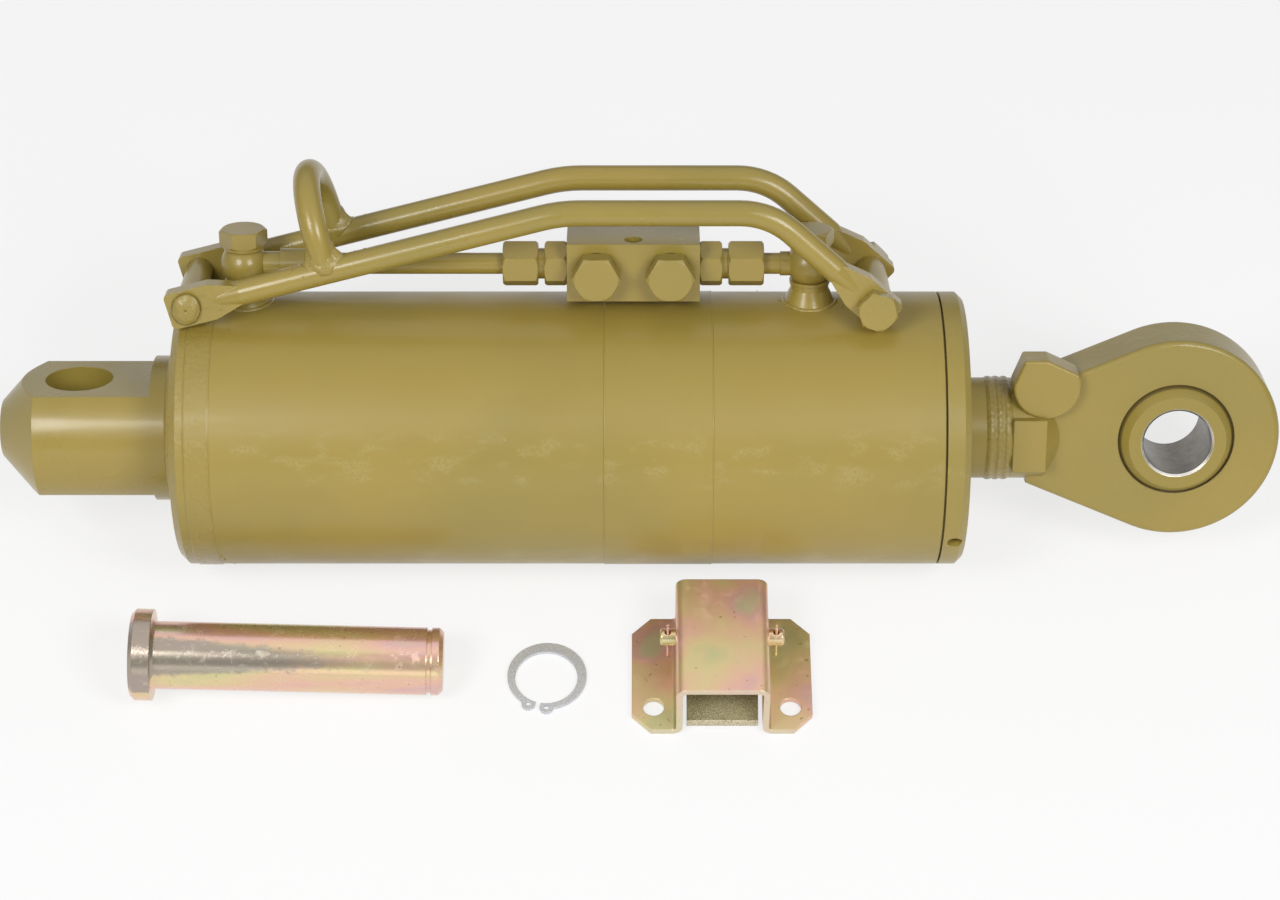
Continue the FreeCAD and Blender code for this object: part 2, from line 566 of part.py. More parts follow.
# ---------------------------------------------------------------------------------------------
# Piston and rod
# ---------------------------------------------------------------------------------------------
def piston_and_rod():
    spigot = "rod_spigot / 2"
    rod = "rod_outer / 2"
    ring_radius = f"({BARREL_BORE} / 2 - fit)"
    body = f"({BARREL_BORE} / 2 - piston_slack)"
    middle = f"({PISTON_START} + piston_length / 2)"
    grooves = [
        ("guide", f"{PISTON_START} + piston_ring_step", "guide_width", "guide_depth"),
        ("seal", f"{middle} - piston_seal_width / 2", "piston_seal_width", "piston_seal_depth"),
        ("guide", f"{PISTON_END} - piston_ring_step - guide_width", "guide_width", "guide_depth"),
    ]
    profile = [(PISTON_START, spigot), (PISTON_START, body)]
    rings = {"guide": [], "seal": []}
    for i, (kind, start, width, depth) in enumerate(grooves):
        floor = f"{ring_radius} - {depth}"
        profile += [(start, body), (start, floor), (f"{start} + {width}", floor),
                    (f"{start} + {width}", body)]
        rings[kind].append(turned(f"piston_{kind}_{i}", [
            (start, floor), (start, ring_radius), (f"{start} + {width}", ring_radius),
            (f"{start} + {width}", floor)]))
    profile += [(PISTON_END, body), (PISTON_END, spigot)]
    placed(turned("piston_body", profile), "piston")
    placed(rings["seal"][0], "piston_seal")
    placed(fuse("piston_guides", *rings["guide"]), "piston_guide_rings")

    placed(turned("rod", [
        (f"{NUT_START} - 1", "0"), (f"{NUT_START} - 1", f"{spigot} - 1"), (NUT_START, spigot),
        (PISTON_END, spigot), (PISTON_END, rod), (ROD_END, rod), (ROD_END, "eye_socket / 2"),
        (f"{EYE_START} + socket_depth", "eye_socket / 2"), (f"{EYE_START} + socket_depth", "0")]),
        "piston_rod")
    nut = hexagon("piston_nut_hex", "nut_flats", NUT_START, "nut_length", "2")
    hole = cylinder("piston_nut_hole", spigot, "nut_length + 2", x=f"{NUT_START} - 1", along="X")
    placed(cut("piston_nut_cut", nut, hole), "piston_nut")
    placed(turned("eye_bead", [
        (ROD_END, "eye_socket / 2"), (ROD_END, rod), (f"{ROD_END} + 1", f"{rod} + weld_rise"),
        (f"{EYE_START} - 1", f"{rod} + weld_rise"), (EYE_START, rod),
        (EYE_START, "eye_socket / 2")]), "eye_weld_ring")


# ---------------------------------------------------------------------------------------------
# Swivel eye and ball
# ---------------------------------------------------------------------------------------------
def eye_blank():
    """The forged eye: a round head, flanks that run down to the neck, and the raised pad."""
    half = num("eye_thick / 2")
    radius = num("eye_outer / 2")
    neck = num("rod_outer / 2")
    centre = Vector(num(EYE_CENTRE), 0, 0)
    root = Vector(num(f"{EYE_START} + eye_neck / 2"), 0, neck - 1)
    out = root - centre
    swing = math.acos(radius / out.Length)
    bearing = math.atan2(out.z, out.x) - swing
    touch = centre + Vector(radius * math.cos(bearing), 0, radius * math.sin(bearing))
    lower = [Vector(point.x, 0, -point.z) for point in (touch, root)]
    head = Part.Wire([
        Part.LineSegment(root, touch).toShape(),
        Part.Arc(touch, centre + Vector(radius, 0, 0), lower[0]).toShape(),
        Part.LineSegment(lower[0], lower[1]).toShape(),
        Part.LineSegment(lower[1], root).toShape()])
    head.translate(Vector(0, -half, 0))
    head = Part.Face(head).extrude(Vector(0, 2 * half, 0))
    rims = [edge for edge in head.Edges
            if edge.BoundBox.YLength < 0.001 and edge.BoundBox.XMax > root.x + 0.001]
    head = head.makeFillet(num("eye_round"), rims)
    start = Vector(num(EYE_START), 0, 0)
    along = Vector(1, 0, 0)
    neck_end = start + along * num("eye_neck")
    stem = Part.makeCylinder(neck, num("eye_neck"), start, along)
    blend = Part.makeCone(neck, half - 1, num("eye_blend"), neck_end, along)
    flat = Vector(num("eye_neck - weld_rise"), num("2 * neck_face"), num("neck_flat"))
    flats = Part.makeBox(flat.x, flat.y, flat.z,
                         neck_end - Vector(flat.x, flat.y / 2, flat.z / 2))
    return head.fuse([stem, blend, flats, eye_pad(start)]).removeSplitter()


def eye_pad(start):
    """The raised pad on the front of the neck: flat on top and round below, like a pocket."""
    top = num("pad_top")
    far = num("pad_length")
    flat = num("pad_flat")
    near = (far - flat) / 4
    left, right, bottom, top_left, top_right = (
        start + Vector(x, -num("pad_face"), z)
        for x, z in ((0, top - num("pad_fall")), (far, top - num("pad_step")),
                     (far / 2 - near / 4, num("pad_low")), (near, top), (near + flat, top)))
    outline = Part.Wire([
        Part.LineSegment(left, top_left).toShape(), Part.LineSegment(top_left, top_right).toShape(),
        Part.LineSegment(top_right, right).toShape(), Part.Arc(right, bottom, left).toShape()])
    pad = Part.Face(outline).extrude(Vector(0, num("pad_thick"), 0))
    corners = [edge for edge in pad.Edges if edge.BoundBox.YLength > 1]
    pad = pad.makeFillet(num("pad_edge"), corners)
    front = [edge for edge in pad.Edges if edge.BoundBox.YMax < left.y + 0.001]
    return pad.makeFillet(num("pad_edge"), front)


def swivel_eye():
    blank = formed("eye_blank", eye_blank())
    mouths = [cylinder(f"seat_mouth_{i}", "seat_lip / 2", "eye_thick", x=EYE_CENTRE, y=y, along="Y")
              for i, y in enumerate(("eye_thick / 2 - lip_depth", "lip_depth - eye_thick * 3 / 2"))]
    seat = doc.addObject("Part::Sphere", "ball_seat")
    bind(seat, Radius="ball_outer / 2 + fit", Placement_Base_x=EYE_CENTRE)
    socket = cylinder("rod_socket", "eye_socket / 2", "socket_depth + 1", x=f"{EYE_START} - 1",
                      along="X")
    placed(cut("eye_cut", blank, seat, socket, *mouths), "swivel_eye")

    sphere = doc.addObject("Part::Sphere", "ball_sphere")
    bind(sphere, Radius="ball_outer / 2")
    width = cylinder("ball_sides", "ball_outer", "ball_width", y="0 - ball_width / 2", along="Y")
    bore = turned("ball_bore", [
        ("0 - ball_width / 2 - 1", "0"), ("0 - ball_width / 2 - 1", "pin_bore / 2 + ball_bevel + 1"),
        ("ball_bevel - ball_width / 2", "pin_bore / 2"), ("ball_width / 2 - ball_bevel", "pin_bore / 2"),
        ("ball_width / 2 + 1", "pin_bore / 2 + ball_bevel + 1"), ("ball_width / 2 + 1", "0")])
    shifted(bore, spot(turn=("0; 0; 1", "90")))
    placed(cut("ball_cut", common("ball_disc", sphere, width), bore), "swivel_ball",
           spot(x=EYE_CENTRE))


# ---------------------------------------------------------------------------------------------
# Oil ports, banjo unions and pipes
# ---------------------------------------------------------------------------------------------
def port(end, place, turn, neck_reach, sleeve):
    """A welded boss with a banjo union on it; the union's neck points along X after its turn."""
    foot = "(barrel_outer / 2 - 8)"
    cone = turned(f"{end}_boss", [
        (foot, "bolt_shank / 2"), (foot, "boss_base / 2"), ("barrel_outer / 2 - 3", "boss_base / 2"),
        (f"{BOSS_TOP} - boss_rim", "boss_top / 2"), (BOSS_TOP, "boss_top / 2"),
        (BOSS_TOP, "bolt_shank / 2")])
    shifted(cone, spot(x=place, turn=UP))
    under = cylinder(f"{end}_boss_seat", "barrel_outer / 2", "boss_base + 20",
                     x=f"{place} - boss_base / 2 - 10", along="X")
    placed(cut(f"{end}_boss_cut", cone, under), f"port_boss_{end}")

    globe = doc.addObject("Part::Sphere", f"{end}_globe")
    bind(globe, Radius="banjo_outer / 2")
    tall = cylinder(f"{end}_globe_sides", "banjo_outer", "banjo_height", z="0 - banjo_height / 2")
    solids = [common(f"{end}_banjo_ring", globe, tall),
              cylinder(f"{end}_neck", "banjo_neck / 2", f"{neck_reach} - bolt_shank / 2",
                       x="bolt_shank / 2", along="X")]
    reach = neck_reach
    if sleeve:
        solids.append(cylinder(f"{end}_sleeve", "sleeve_outer / 2", "sleeve_length",
                               x=neck_reach, along="X"))
        reach = f"({neck_reach} + sleeve_length)"
    pipe_start = f"({neck_reach} - pipe_seat)"
    holes = [
        cylinder(f"{end}_bolt_way", "bolt_shank / 2 + fit", "banjo_height + 2",
                 z="0 - banjo_height / 2 - 1"),
        cylinder(f"{end}_oil_way", "oil_way / 2", pipe_start, along="X"),
        cylinder(f"{end}_pipe_way", "pipe_outer / 2", f"{reach} - {pipe_start} + 1",
                 x=pipe_start, along="X"),
    ]
    placed(cut(f"{end}_banjo_cut", fuse(f"{end}_banjo_solid", *solids), *holes),
           f"banjo_{end}", spot(x=place, z=PIPE_HEIGHT, turn=turn))

    head = f"({BANJO_TOP} + washer_thick)"
    tip = "(barrel_outer / 2 + bolt_space)"
    way_end = f"({PIPE_HEIGHT} + bolt_cross)"
    stem = turned(f"{end}_bolt_stem", [
        (tip, "oil_way / 2"), (tip, "bolt_shank / 2"), (f"{head} + 1", "bolt_shank / 2"),
        (f"{head} + 1", "0"), (way_end, "0"), (way_end, "oil_way / 2")])
    cap = hexagon(f"{end}_bolt_cap", "bolt_flats", head, "bolt_head", spin="8")
    cross = cylinder(f"{end}_bolt_cross", "bolt_cross / 2", "bolt_shank + 2", x=PIPE_HEIGHT,
                     y="0 - bolt_shank / 2 - 1", along="Y")
    placed(cut(f"{end}_bolt_cut", fuse(f"{end}_bolt_solid", stem, cap), cross),
           f"banjo_bolt_{end}", spot(x=place, turn=UP))

    rings = [turned(f"{end}_washer_{i}", [
        (start, "bolt_shank / 2 + fit"), (start, "washer_outer / 2"),
        (f"{start} + washer_thick", "washer_outer / 2"),
        (f"{start} + washer_thick", "bolt_shank / 2 + fit")])
        for i, start in enumerate((BOSS_TOP, BANJO_TOP))]
    placed(fuse(f"{end}_washers", *rings), f"banjo_washers_{end}", spot(x=place, turn=UP))
    return pipe_start


def oil_line():
    base_pipe = port("base", BASE_PORT, AS_MADE, "long_neck", sleeve=True)
    rod_pipe = port("rod", ROD_PORT, BACK_ALONG, "short_neck", sleeve=False)
    nose = "(adapter_hex + adapter_gap + adapter_nose)"
    inside = f"({nose} - pipe_seat)"
    block_base = f"({VALVE_CENTRE} - valve_length / 2)"
    block_rod = f"({VALVE_CENTRE} + valve_length / 2)"
    runs = [("base", f"({BASE_PORT} + {base_pipe})", f"({block_base} - {inside})"),
            ("rod", f"({block_rod} + {inside})", f"({ROD_PORT} - {rod_pipe})")]
    for end, start, finish in runs:
        placed(turned(f"{end}_pipe", [
            (start, "pipe_outer / 2 - pipe_wall"), (start, "pipe_outer / 2"),
            (finish, "pipe_outer / 2"), (finish, "pipe_outer / 2 - pipe_wall")]),
            f"pipe_{end}", spot(z=PIPE_HEIGHT))

    ferrules = []
    for end, face, turn in (("base", block_base, BACK_ALONG), ("rod", block_rod, AS_MADE)):
        here = spot(x=face, z=PIPE_HEIGHT, turn=turn)
        body = fuse(f"{end}_adapter_solid",
                    hexagon(f"{end}_adapter_hex", "fitting_flats", "0", "adapter_hex"),
                    cylinder(f"{end}_stud", "stud_outer / 2", "stud_length", x="0 - stud_length",
                             along="X"),
                    cylinder(f"{end}_collar", "adapter_thread / 2 - 0.7", "adapter_gap",
                             x="adapter_hex", along="X"),
                    cylinder(f"{end}_nose", "adapter_thread / 2", "adapter_nose",
                             x="adapter_hex + adapter_gap", along="X"))
        holes = [cylinder(f"{end}_adapter_way", "oil_way / 2", f"stud_length + {nose} + 2",
                          x="0 - stud_length - 1", along="X"),
                 cylinder(f"{end}_adapter_seat", "pipe_outer / 2", "pipe_seat + 1", x=inside,
                          along="X")]
        placed(cut(f"{end}_adapter_cut", body, *holes), f"valve_adapter_{end}", here)

        start = "(adapter_hex + adapter_gap)"
        shell = hexagon(f"{end}_union_hex", "fitting_flats", start, "union_length")
        holes = [cylinder(f"{end}_union_thread", "adapter_thread / 2",
                          "adapter_nose + cutting_length + 1", x=f"{start} - 1", along="X"),
                 cylinder(f"{end}_union_way", "pipe_outer / 2", "union_length + 2",
                          x=f"{start} - 1", along="X")]
        placed(cut(f"{end}_union_cut", shell, *holes), f"union_nut_{end}", here)
        ferrule = turned(f"{end}_ferrule", [
            (nose, "pipe_outer / 2"), (nose, "pipe_outer / 2 + 1"),
            (f"{nose} + cutting_taper", "adapter_thread / 2"), (f"{nose} + cutting_length", "adapter_thread / 2"),
            (f"{nose} + cutting_length", "pipe_outer / 2")])
        ferrules.append(shifted(ferrule, here))
    placed(fuse("ferrules", *ferrules), "cutting_rings")


# ---------------------------------------------------------------------------------------------
# Pilot-operated check valve block
# ---------------------------------------------------------------------------------------------
def valve_block():
    half = "valve_side / 2"
    here = spot(x=VALVE_CENTRE, z=PIPE_HEIGHT)
    block = box("block", "valve_length", "valve_side", "valve_side", x="0 - valve_length / 2",
                y=f"0 - {half}", z=f"0 - {half}")
    seat = f"(cavity_depth - {half})"
    holes = [
        cylinder("gallery_way", "gallery / 2", CAVITY_SPACING, x=f"0 - {CAVITY_SPACING} / 2",
                 y="gallery_back", along="X"),
        cylinder("test_way", "test_port / 2", "test_port_depth + 1", y="0 - test_port_front",
                 z=f"{half} - test_port_depth"),
    ]
    sides = (("base", "0 - "), ("rod", ""))
    for end, sign in sides:
        middle = f"{sign}{CAVITY_SPACING} / 2"
        stud = "0 - valve_length / 2 - 1" if end == "base" else "valve_length / 2 - stud_length"
        holes += [
            cylinder(f"{end}_cavity", "cavity_outer / 2", "cavity_depth + 1", x=middle,
                     y=f"0 - {half} - 1", along="Y"),
            cylinder(f"{end}_seat", "seat_hole / 2", f"{half} - {seat} - seat_floor", x=middle, y=seat,
                     along="Y"),
            cylinder(f"{end}_stud_way", "stud_outer / 2", "stud_length + 1", x=stud, along="X"),
        ]
    placed(cut("block_cut", block, *holes), "valve_block", here)

    seals = []
    for end, sign in sides:
        front = spot(x=f"{VALVE_CENTRE} + {sign}{CAVITY_SPACING} / 2", y=f"0 - {half}",
                     z=PIPE_HEIGHT, turn=FRONT)
        head = hexagon(f"{end}_plug_hex", "plug_flats", "plug_seal", "plug_head", spin="90")
        shank = cylinder(f"{end}_plug_shank", "cavity_outer / 2", f"{PLUG_SHANK} + plug_seal + 1",
                         x=f"0 - {PLUG_SHANK}", along="X")
        pocket = cylinder(f"{end}_plug_pocket", "spring_pocket / 2", f"{PLUG_SHANK} + 1 - plug_roof",
                          x=f"0 - {PLUG_SHANK} - 1", along="X")
        placed(cut(f"{end}_plug_cut", fuse(f"{end}_plug_solid", head, shank), pocket),
               f"check_plug_{end}", front)
        seals.append(shifted(turned(f"{end}_plug_seal", [
            ("0", "cavity_outer / 2"), ("0", "plug_flats / 2"), ("plug_seal", "plug_flats / 2"),
            ("plug_seal", "cavity_outer / 2")]), front))

        # the poppet's own X runs forward from the cavity's floor, where its seat is
        floor = spot(x=f"{VALVE_CENTRE} + {sign}{CAVITY_SPACING} / 2", y=seat, z=PIPE_HEIGHT,
                     turn=FRONT)
        tip = "(seat_hole / 2 - play)"
        guide = "(cavity_outer / 2 - fit)"
        placed(turned(f"{end}_poppet", [
            ("0 - poppet_tip", "0"), ("0 - poppet_tip", tip), ("play", tip),
            ("play", "seat_hole / 2 + poppet_land"), ("poppet_cone", guide),
            ("poppet_cone + poppet_length", guide),
            ("poppet_cone + poppet_length", "spring_pocket / 2"),
            ("poppet_floor", "spring_pocket / 2"), ("poppet_floor", "0")]),
            f"check_poppet_{end}", floor)
        length = num("cavity_depth - poppet_floor - plug_roof - spring_wire")
        turns = round(num("spring_turns"))
        spring = coil(turns, length / turns,
                      num("spring_pocket / 2 - spring_wire / 2 - play"), num("spring_wire"))
        placed(formed(f"{end}_spring", spring), f"check_spring_{end}", floor,
               spot(x="poppet_floor + spring_wire / 2", turn=("0; 1; 0", "90")))
    placed(fuse("plug_seals", *seals), "check_plug_seals")
    placed(turned("pilot", [
        ("0 - pilot_length / 2", "0"), ("0 - pilot_length / 2", "gallery / 2 - 1"),
        ("1 - pilot_length / 2", "gallery / 2 - fit"), ("pilot_length / 2 - 1", "gallery / 2 - fit"),
        ("pilot_length / 2", "gallery / 2 - 1"), ("pilot_length / 2", "0")]),
        "pilot_piston", spot(x=VALVE_CENTRE, y="gallery_back", z=PIPE_HEIGHT))


# ---------------------------------------------------------------------------------------------
# Guard over the valve and pipes
# ---------------------------------------------------------------------------------------------
def guard_points(side):
    """Centre line of a guard rod, on the front (-1) or back (1) side."""
    across = side * num("guard_spread / 2")
    low = num(GUARD_FOOT)
    high = num(GUARD_TOP)
    places = ((GUARD_START, low), (GUARD_HIGH_START, high), (GUARD_HIGH_END, high),
              (GUARD_END, low))
    return [Vector(num(x), across, z) for x, z in places]


def lug(end, inward):
    """A flattened rod end: a plate cut square, which swells back into the round of the rod."""
    wide = num("lug_wide / 2")
    half = num("lug_thick / 2")
    rod = num("guard_rod / 2")
    narrow = math.sqrt(rod ** 2 - half ** 2)
    along = (inward - end).normalize()
    across = Vector(-along.z, 0, along.x)
    tip = end - along * num("lug_end")
    shoulder = end + along * num("lug_flat")
    waist = end + along * num("lug_length")
    outline = [(tip, wide), (tip, -wide), (shoulder, -wide), (waist, -narrow), (waist, narrow),
               (shoulder, wide)]
    plate = slab([place + across * side - Vector(0, half, 0) for place, side in outline],
                 Vector(0, 2 * half, 0))
    corners = [edge for edge in plate.Edges if edge.BoundBox.YLength > half
               and (edge.CenterOfMass - tip).dot(along) < 0.001]
    plate = plate.makeFillet(num("lug_corner"), corners)
    return plate.fuse(Part.makeCone(half, rod, (waist - shoulder).Length, shoulder, along))


def guard():
    across = "guard_spread / 2"
    lug_face = "(guard_spread / 2 + lug_thick / 2)"
    bends = [num("guard_bend_low"), num("guard_bend_high")]
    seat = cylinder("guard_seat", "barrel_outer / 2 + weld_rise", f"{GUARD_END} + 40", along="X")
    for name, side in (("front", -1), ("back", 1)):
        points = guard_points(side)
        round_start = num("lug_length")
        ends = [(points[0], points[1]), (points[-1], points[-2])]
        run = list(points)
        run[0] = points[0] + (points[1] - points[0]).normalize() * round_start
        run[-1] = points[-1] + (points[-2] - points[-1]).normalize() * round_start
        rod = bent_bar(run, bends, num("guard_rod"))
        lugs = [lug(end, inward) for end, inward in ends]
        blank = formed(f"guard_{name}_blank", rod.fuse(lugs))
        clear = cylinder(f"guard_{name}_clear", "barrel_outer / 2 + weld_rise + play",
                         f"{GUARD_END} + 40", along="X")
        start = f"{side} * {across} - lug_thick / 2 - 1"
        holes = [cylinder(f"guard_{name}_bar_way", "cross_bar / 2", "lug_thick + 2",
                          x=GUARD_START, y=start, z=GUARD_FOOT, along="Y"),
                 cylinder(f"guard_{name}_bolt_way", "guard_bolt_hole / 2", "lug_thick + 2",
                          x=GUARD_END, y=start, z=GUARD_FOOT, along="Y")]
        placed(cut(f"guard_{name}_cut", blank, clear, *holes), f"guard_rod_{name}")

    bar = cylinder("cross", "cross_bar / 2", f"2 * ({lug_face} + cross_proud)", x=GUARD_START,
                   y=f"0 - {lug_face} - cross_proud", z=GUARD_FOOT, along="Y")
    placed(cut("cross_cut", bar, seat), "guard_cross_bar")

    spacer = cylinder("spacer", "spacer_outer / 2", "guard_spread - lug_thick", x=GUARD_END,
                      y=f"lug_thick / 2 - {across}", z=GUARD_FOOT, along="Y")
    under = cylinder("spacer_seat", "barrel_outer / 2", "spacer_outer + 10",
                     x=f"{GUARD_END} - spacer_outer / 2 - 5", along="X")
    way = cylinder("spacer_way", "guard_bolt_hole / 2", "guard_spread", x=GUARD_END,
                   y=f"0 - {across}", z=GUARD_FOOT, along="Y")
    placed(cut("spacer_cut", spacer, under, way), "guard_spacer")

    shank = f"(2 * {lug_face} + guard_nut + bolt_proud)"
    bolt = fuse("guard_bolt_solid",
                hexagon("guard_bolt_hex", "guard_bolt_flats", "0", "guard_bolt_head", spin="15"),
                cylinder("guard_bolt_shank", "guard_bolt / 2", f"{shank} + 1",
                         x=f"0 - {shank}", along="X"))
    placed(bolt, "guard_bolt",
           spot(x=GUARD_END, y=f"0 - {lug_face}", z=GUARD_FOOT, turn=FRONT))
    nut = cut("guard_nut_cut",
              hexagon("guard_nut_hex", "guard_bolt_flats", "0", "guard_nut", spin="15"),
              cylinder("guard_nut_way", "guard_bolt / 2", "guard_nut + 2", x="0 - 1", along="X"))
    placed(nut, "guard_bolt_nut",
           spot(x=GUARD_END, y=lug_face, z=GUARD_FOOT, turn=("0; 0; 1", "90")))

    # the hose loop stands square on the rising run, coped over both rods
    points = guard_points(-1)
    along = (points[1] - points[0]).normalize()
    square = Vector(-along.z, 0, along.x)
    foot = points[0] + along * num("loop_place")
    half = num(across)
    top = num("loop_height")
    feet = [foot, foot + Vector(0, 2 * half, 0)]
    crown = [point + square * top for point in feet]
    arch = bent_bar([feet[0], crown[0], crown[1], feet[1]], [half * 0.98] * 2, num("loop_rod"))
    reach = num("2 * loop_rod")
    for point in feet:
        arch = arch.cut(Part.makeCylinder(num("guard_rod / 2"), 2 * reach, point - along * reach,
                                          along))
        below = Part.makeBox(2 * reach, 2 * reach, reach, point - Vector(reach, reach, reach))
        below.rotate(point, Vector(0, 1, 0), -math.degrees(math.atan2(along.z, along.x)))
        arch = arch.cut(below)
    placed(formed("loop", arch), "guard_hose_loop")


# ---------------------------------------------------------------------------------------------
# Hitch pin and circlip
# ---------------------------------------------------------------------------------------------
def hitch_pin():
    shank = "hitch_outer / 2"
    head = "hitch_head / 2"
    groove = "(hitch_length - groove_back - groove_width)"
    step = f"({head} - {shank})"
    span = "(hitch_length - hitch_bevel - hitch_head_length)"
    droop = f"atan({step} / {span})"
    high = f"{head} * cos({droop}) + hitch_head_length * sin({droop})"
    placed(turned("hitch", [
        ("0", "0"), ("0", f"{head} - hitch_bevel"), ("hitch_bevel", head), ("hitch_head_length", head),
        ("hitch_head_length", f"{shank} + hitch_neck"), ("hitch_head_length + hitch_neck", shank),
        (groove, shank), (groove, "groove_outer / 2"),
        (f"{groove} + groove_width", "groove_outer / 2"), (f"{groove} + groove_width", shank),
        ("hitch_length - hitch_bevel", shank), ("hitch_length", f"{shank} - hitch_bevel"),
        ("hitch_length", "0")]), "hitch_pin",
        spot(x="hitch_x", y="0 - hitch_y", z=f"{FLOOR} + {high}", turn=("0; 1; 0", droop)),
        leaning=False)


def circlip():
    inner = "clip_inner / 2"
    shift = "clip_narrow / 2"
    thick = "clip_thick"
    ring = cylinder("clip_disc", f"{inner} + clip_width - {shift}", thick, x=f"0 - {shift}")
    angle = "(asin((clip_gap / 2 + clip_lug / 2) / (clip_inner / 2 + clip_lug / 2 - 1)))"
    reach = f"({inner} + clip_lug / 2 - 1)"
    lugs = []
    eyes = []
    for i, sign in enumerate(("0 - ", "")):
        x = f"{reach} * cos({angle})"
        y = f"{sign}{reach} * sin({angle})"
        lugs.append(cylinder(f"clip_lug_{i}", "clip_lug / 2", thick, x=x, y=y))
        eyes.append(cylinder(f"clip_eye_{i}", "clip_eye / 2", "clip_thick + 2", x=x, y=y, z="0 - 1"))
    hole = cylinder("clip_hole", inner, "clip_thick + 2", z="0 - 1")
    gap = box("clip_gap", "clip_inner", "clip_gap", "clip_thick + 2", y="0 - clip_gap / 2",
              z="0 - 1")
    placed(cut("clip_cut", fuse("clip_solid", ring, *lugs), hole, gap, *eyes), "circlip",
           spot(x="clip_x", y="0 - clip_y", z=FLOOR, turn=("0; 0; 1", "clip_turn")), leaning=False)


# ---------------------------------------------------------------------------------------------
# Catch bracket with its sprung latch flap
# ---------------------------------------------------------------------------------------------
# Its own frame: X across, Y from its front edge back, Z up from the floor.
CATCH = spot(x="catch_x", y="0 - catch_y", z=FLOOR)
PIVOT = spot(y="latch_pin_front", z="latch_pin_height")


def catch_plate():
    """The hat-shaped sheet, with its flange corners cut off."""
    sheet_thick = num("catch_sheet")
    half = num("catch_width / 2")
    wing = num("catch_span / 2")
    high = num("catch_height")
    depth = num("catch_depth")
    corner = num("catch_corner")
    outside = [(wing, 0), (wing, sheet_thick), (half, sheet_thick), (half, high)]
    inside = [(half - sheet_thick, high - sheet_thick), (half - sheet_thick, 0)]
    mirror = [(-x, z) for x, z in reversed(outside)]
    back = [(-x, z) for x, z in reversed(inside)]
    section = outside + mirror + back + list(inside)
    hat = slab([Vector(x, 0, z) for x, z in section], Vector(0, depth, 0))
    outer = num("catch_bend")
    radii = {(half, high): outer, (half - sheet_thick, high - sheet_thick): outer - sheet_thick,
             (half, sheet_thick): outer - sheet_thick, (half - sheet_thick, 0): outer}
    for (x, z), radius in radii.items():
        edges = [edge for edge in hat.Edges
                 if edge.BoundBox.YLength > depth / 2
                 and abs(abs(edge.CenterOfMass.x) - x) < 0.01
                 and abs(edge.CenterOfMass.z - z) < 0.01]
        hat = hat.makeFillet(radius, edges)
    plan = [(wing, corner), (wing - corner, 0), (corner - wing, 0), (-wing, corner),
            (-wing, depth - corner), (corner - wing, depth), (wing - corner, depth),
            (wing, depth - corner)]
    keep = slab([Vector(x, y, -1) for x, y in plan], Vector(0, 0, high + 2))
    return hat.common(keep)


def catch():
    plate = formed("catch_blank", catch_plate())
    holes = [cylinder(f"catch_hole_{i}", "catch_hole / 2", "catch_sheet + 2",
                      x=f"{sign} * catch_holes / 2", y="catch_hole_front", z="0 - 1")
             for i, sign in enumerate((-1, 1))]
    way = cylinder("latch_pin_way", "latch_pin / 2 + fit", "catch_width + 2",
                   x="0 - catch_width / 2 - 1", y="latch_pin_front", z="latch_pin_height",
                   along="X")
    placed(cut("catch_cut", plate, way, *holes), "catch_bracket", CATCH, leaning=False)

    pin_half = "(catch_width / 2 + latch_pin_proud)"
    rod = turned("latch_pin_bar", [
        (f"0 - {pin_half}", "0"), (f"0 - {pin_half}", "latch_pin / 2 - 0.8"),
        (f"0.8 - {pin_half}", "latch_pin / 2"), (f"{pin_half} - 0.8", "latch_pin / 2"),
        (pin_half, "latch_pin / 2 - 0.8"), (pin_half, "0")])
    split_x = "(catch_width / 2 + latch_pin_proud / 2)"
    ways = [cylinder(f"split_way_{i}", "split_pin / 2", "latch_pin + 2",
                     x=f"{sign} * {split_x}", z="0 - latch_pin / 2 - 1")
            for i, sign in enumerate((-1, 1))]
    placed(cut("latch_pin_cut", rod, *ways), "latch_pivot_pin", CATCH, PIVOT, leaning=False)

    wire = num("(split_pin - play) / 2")
    leg = (wire + num("play")) / 2
    rise = num("latch_pin / 2 + play")
    wide = num("split_eye / 2") - wire / 2
    path = [Vector(0, side * y, 0 - z) for side, y, z in (
        (-1, leg, rise - num("split_pin_length")), (-1, leg, rise), (-1, wide, rise + wide),
        (-1, wide, rise + 3 * wide), (1, wide, rise + 3 * wide), (1, wide, rise + wide),
        (1, leg, rise), (1, leg, rise - num("split_pin_length")))]
    shape = bent_bar(path, [wire, wire, 0.95 * wide, 0.95 * wide, wire, wire], wire)
    splits = [shifted(formed(f"split_{i}", shape), spot(x=f"{sign} * {split_x}"))
              for i, sign in enumerate((-1, 1))]
    placed(fuse("splits", *splits), "split_pins", CATCH, PIVOT, leaning=False)


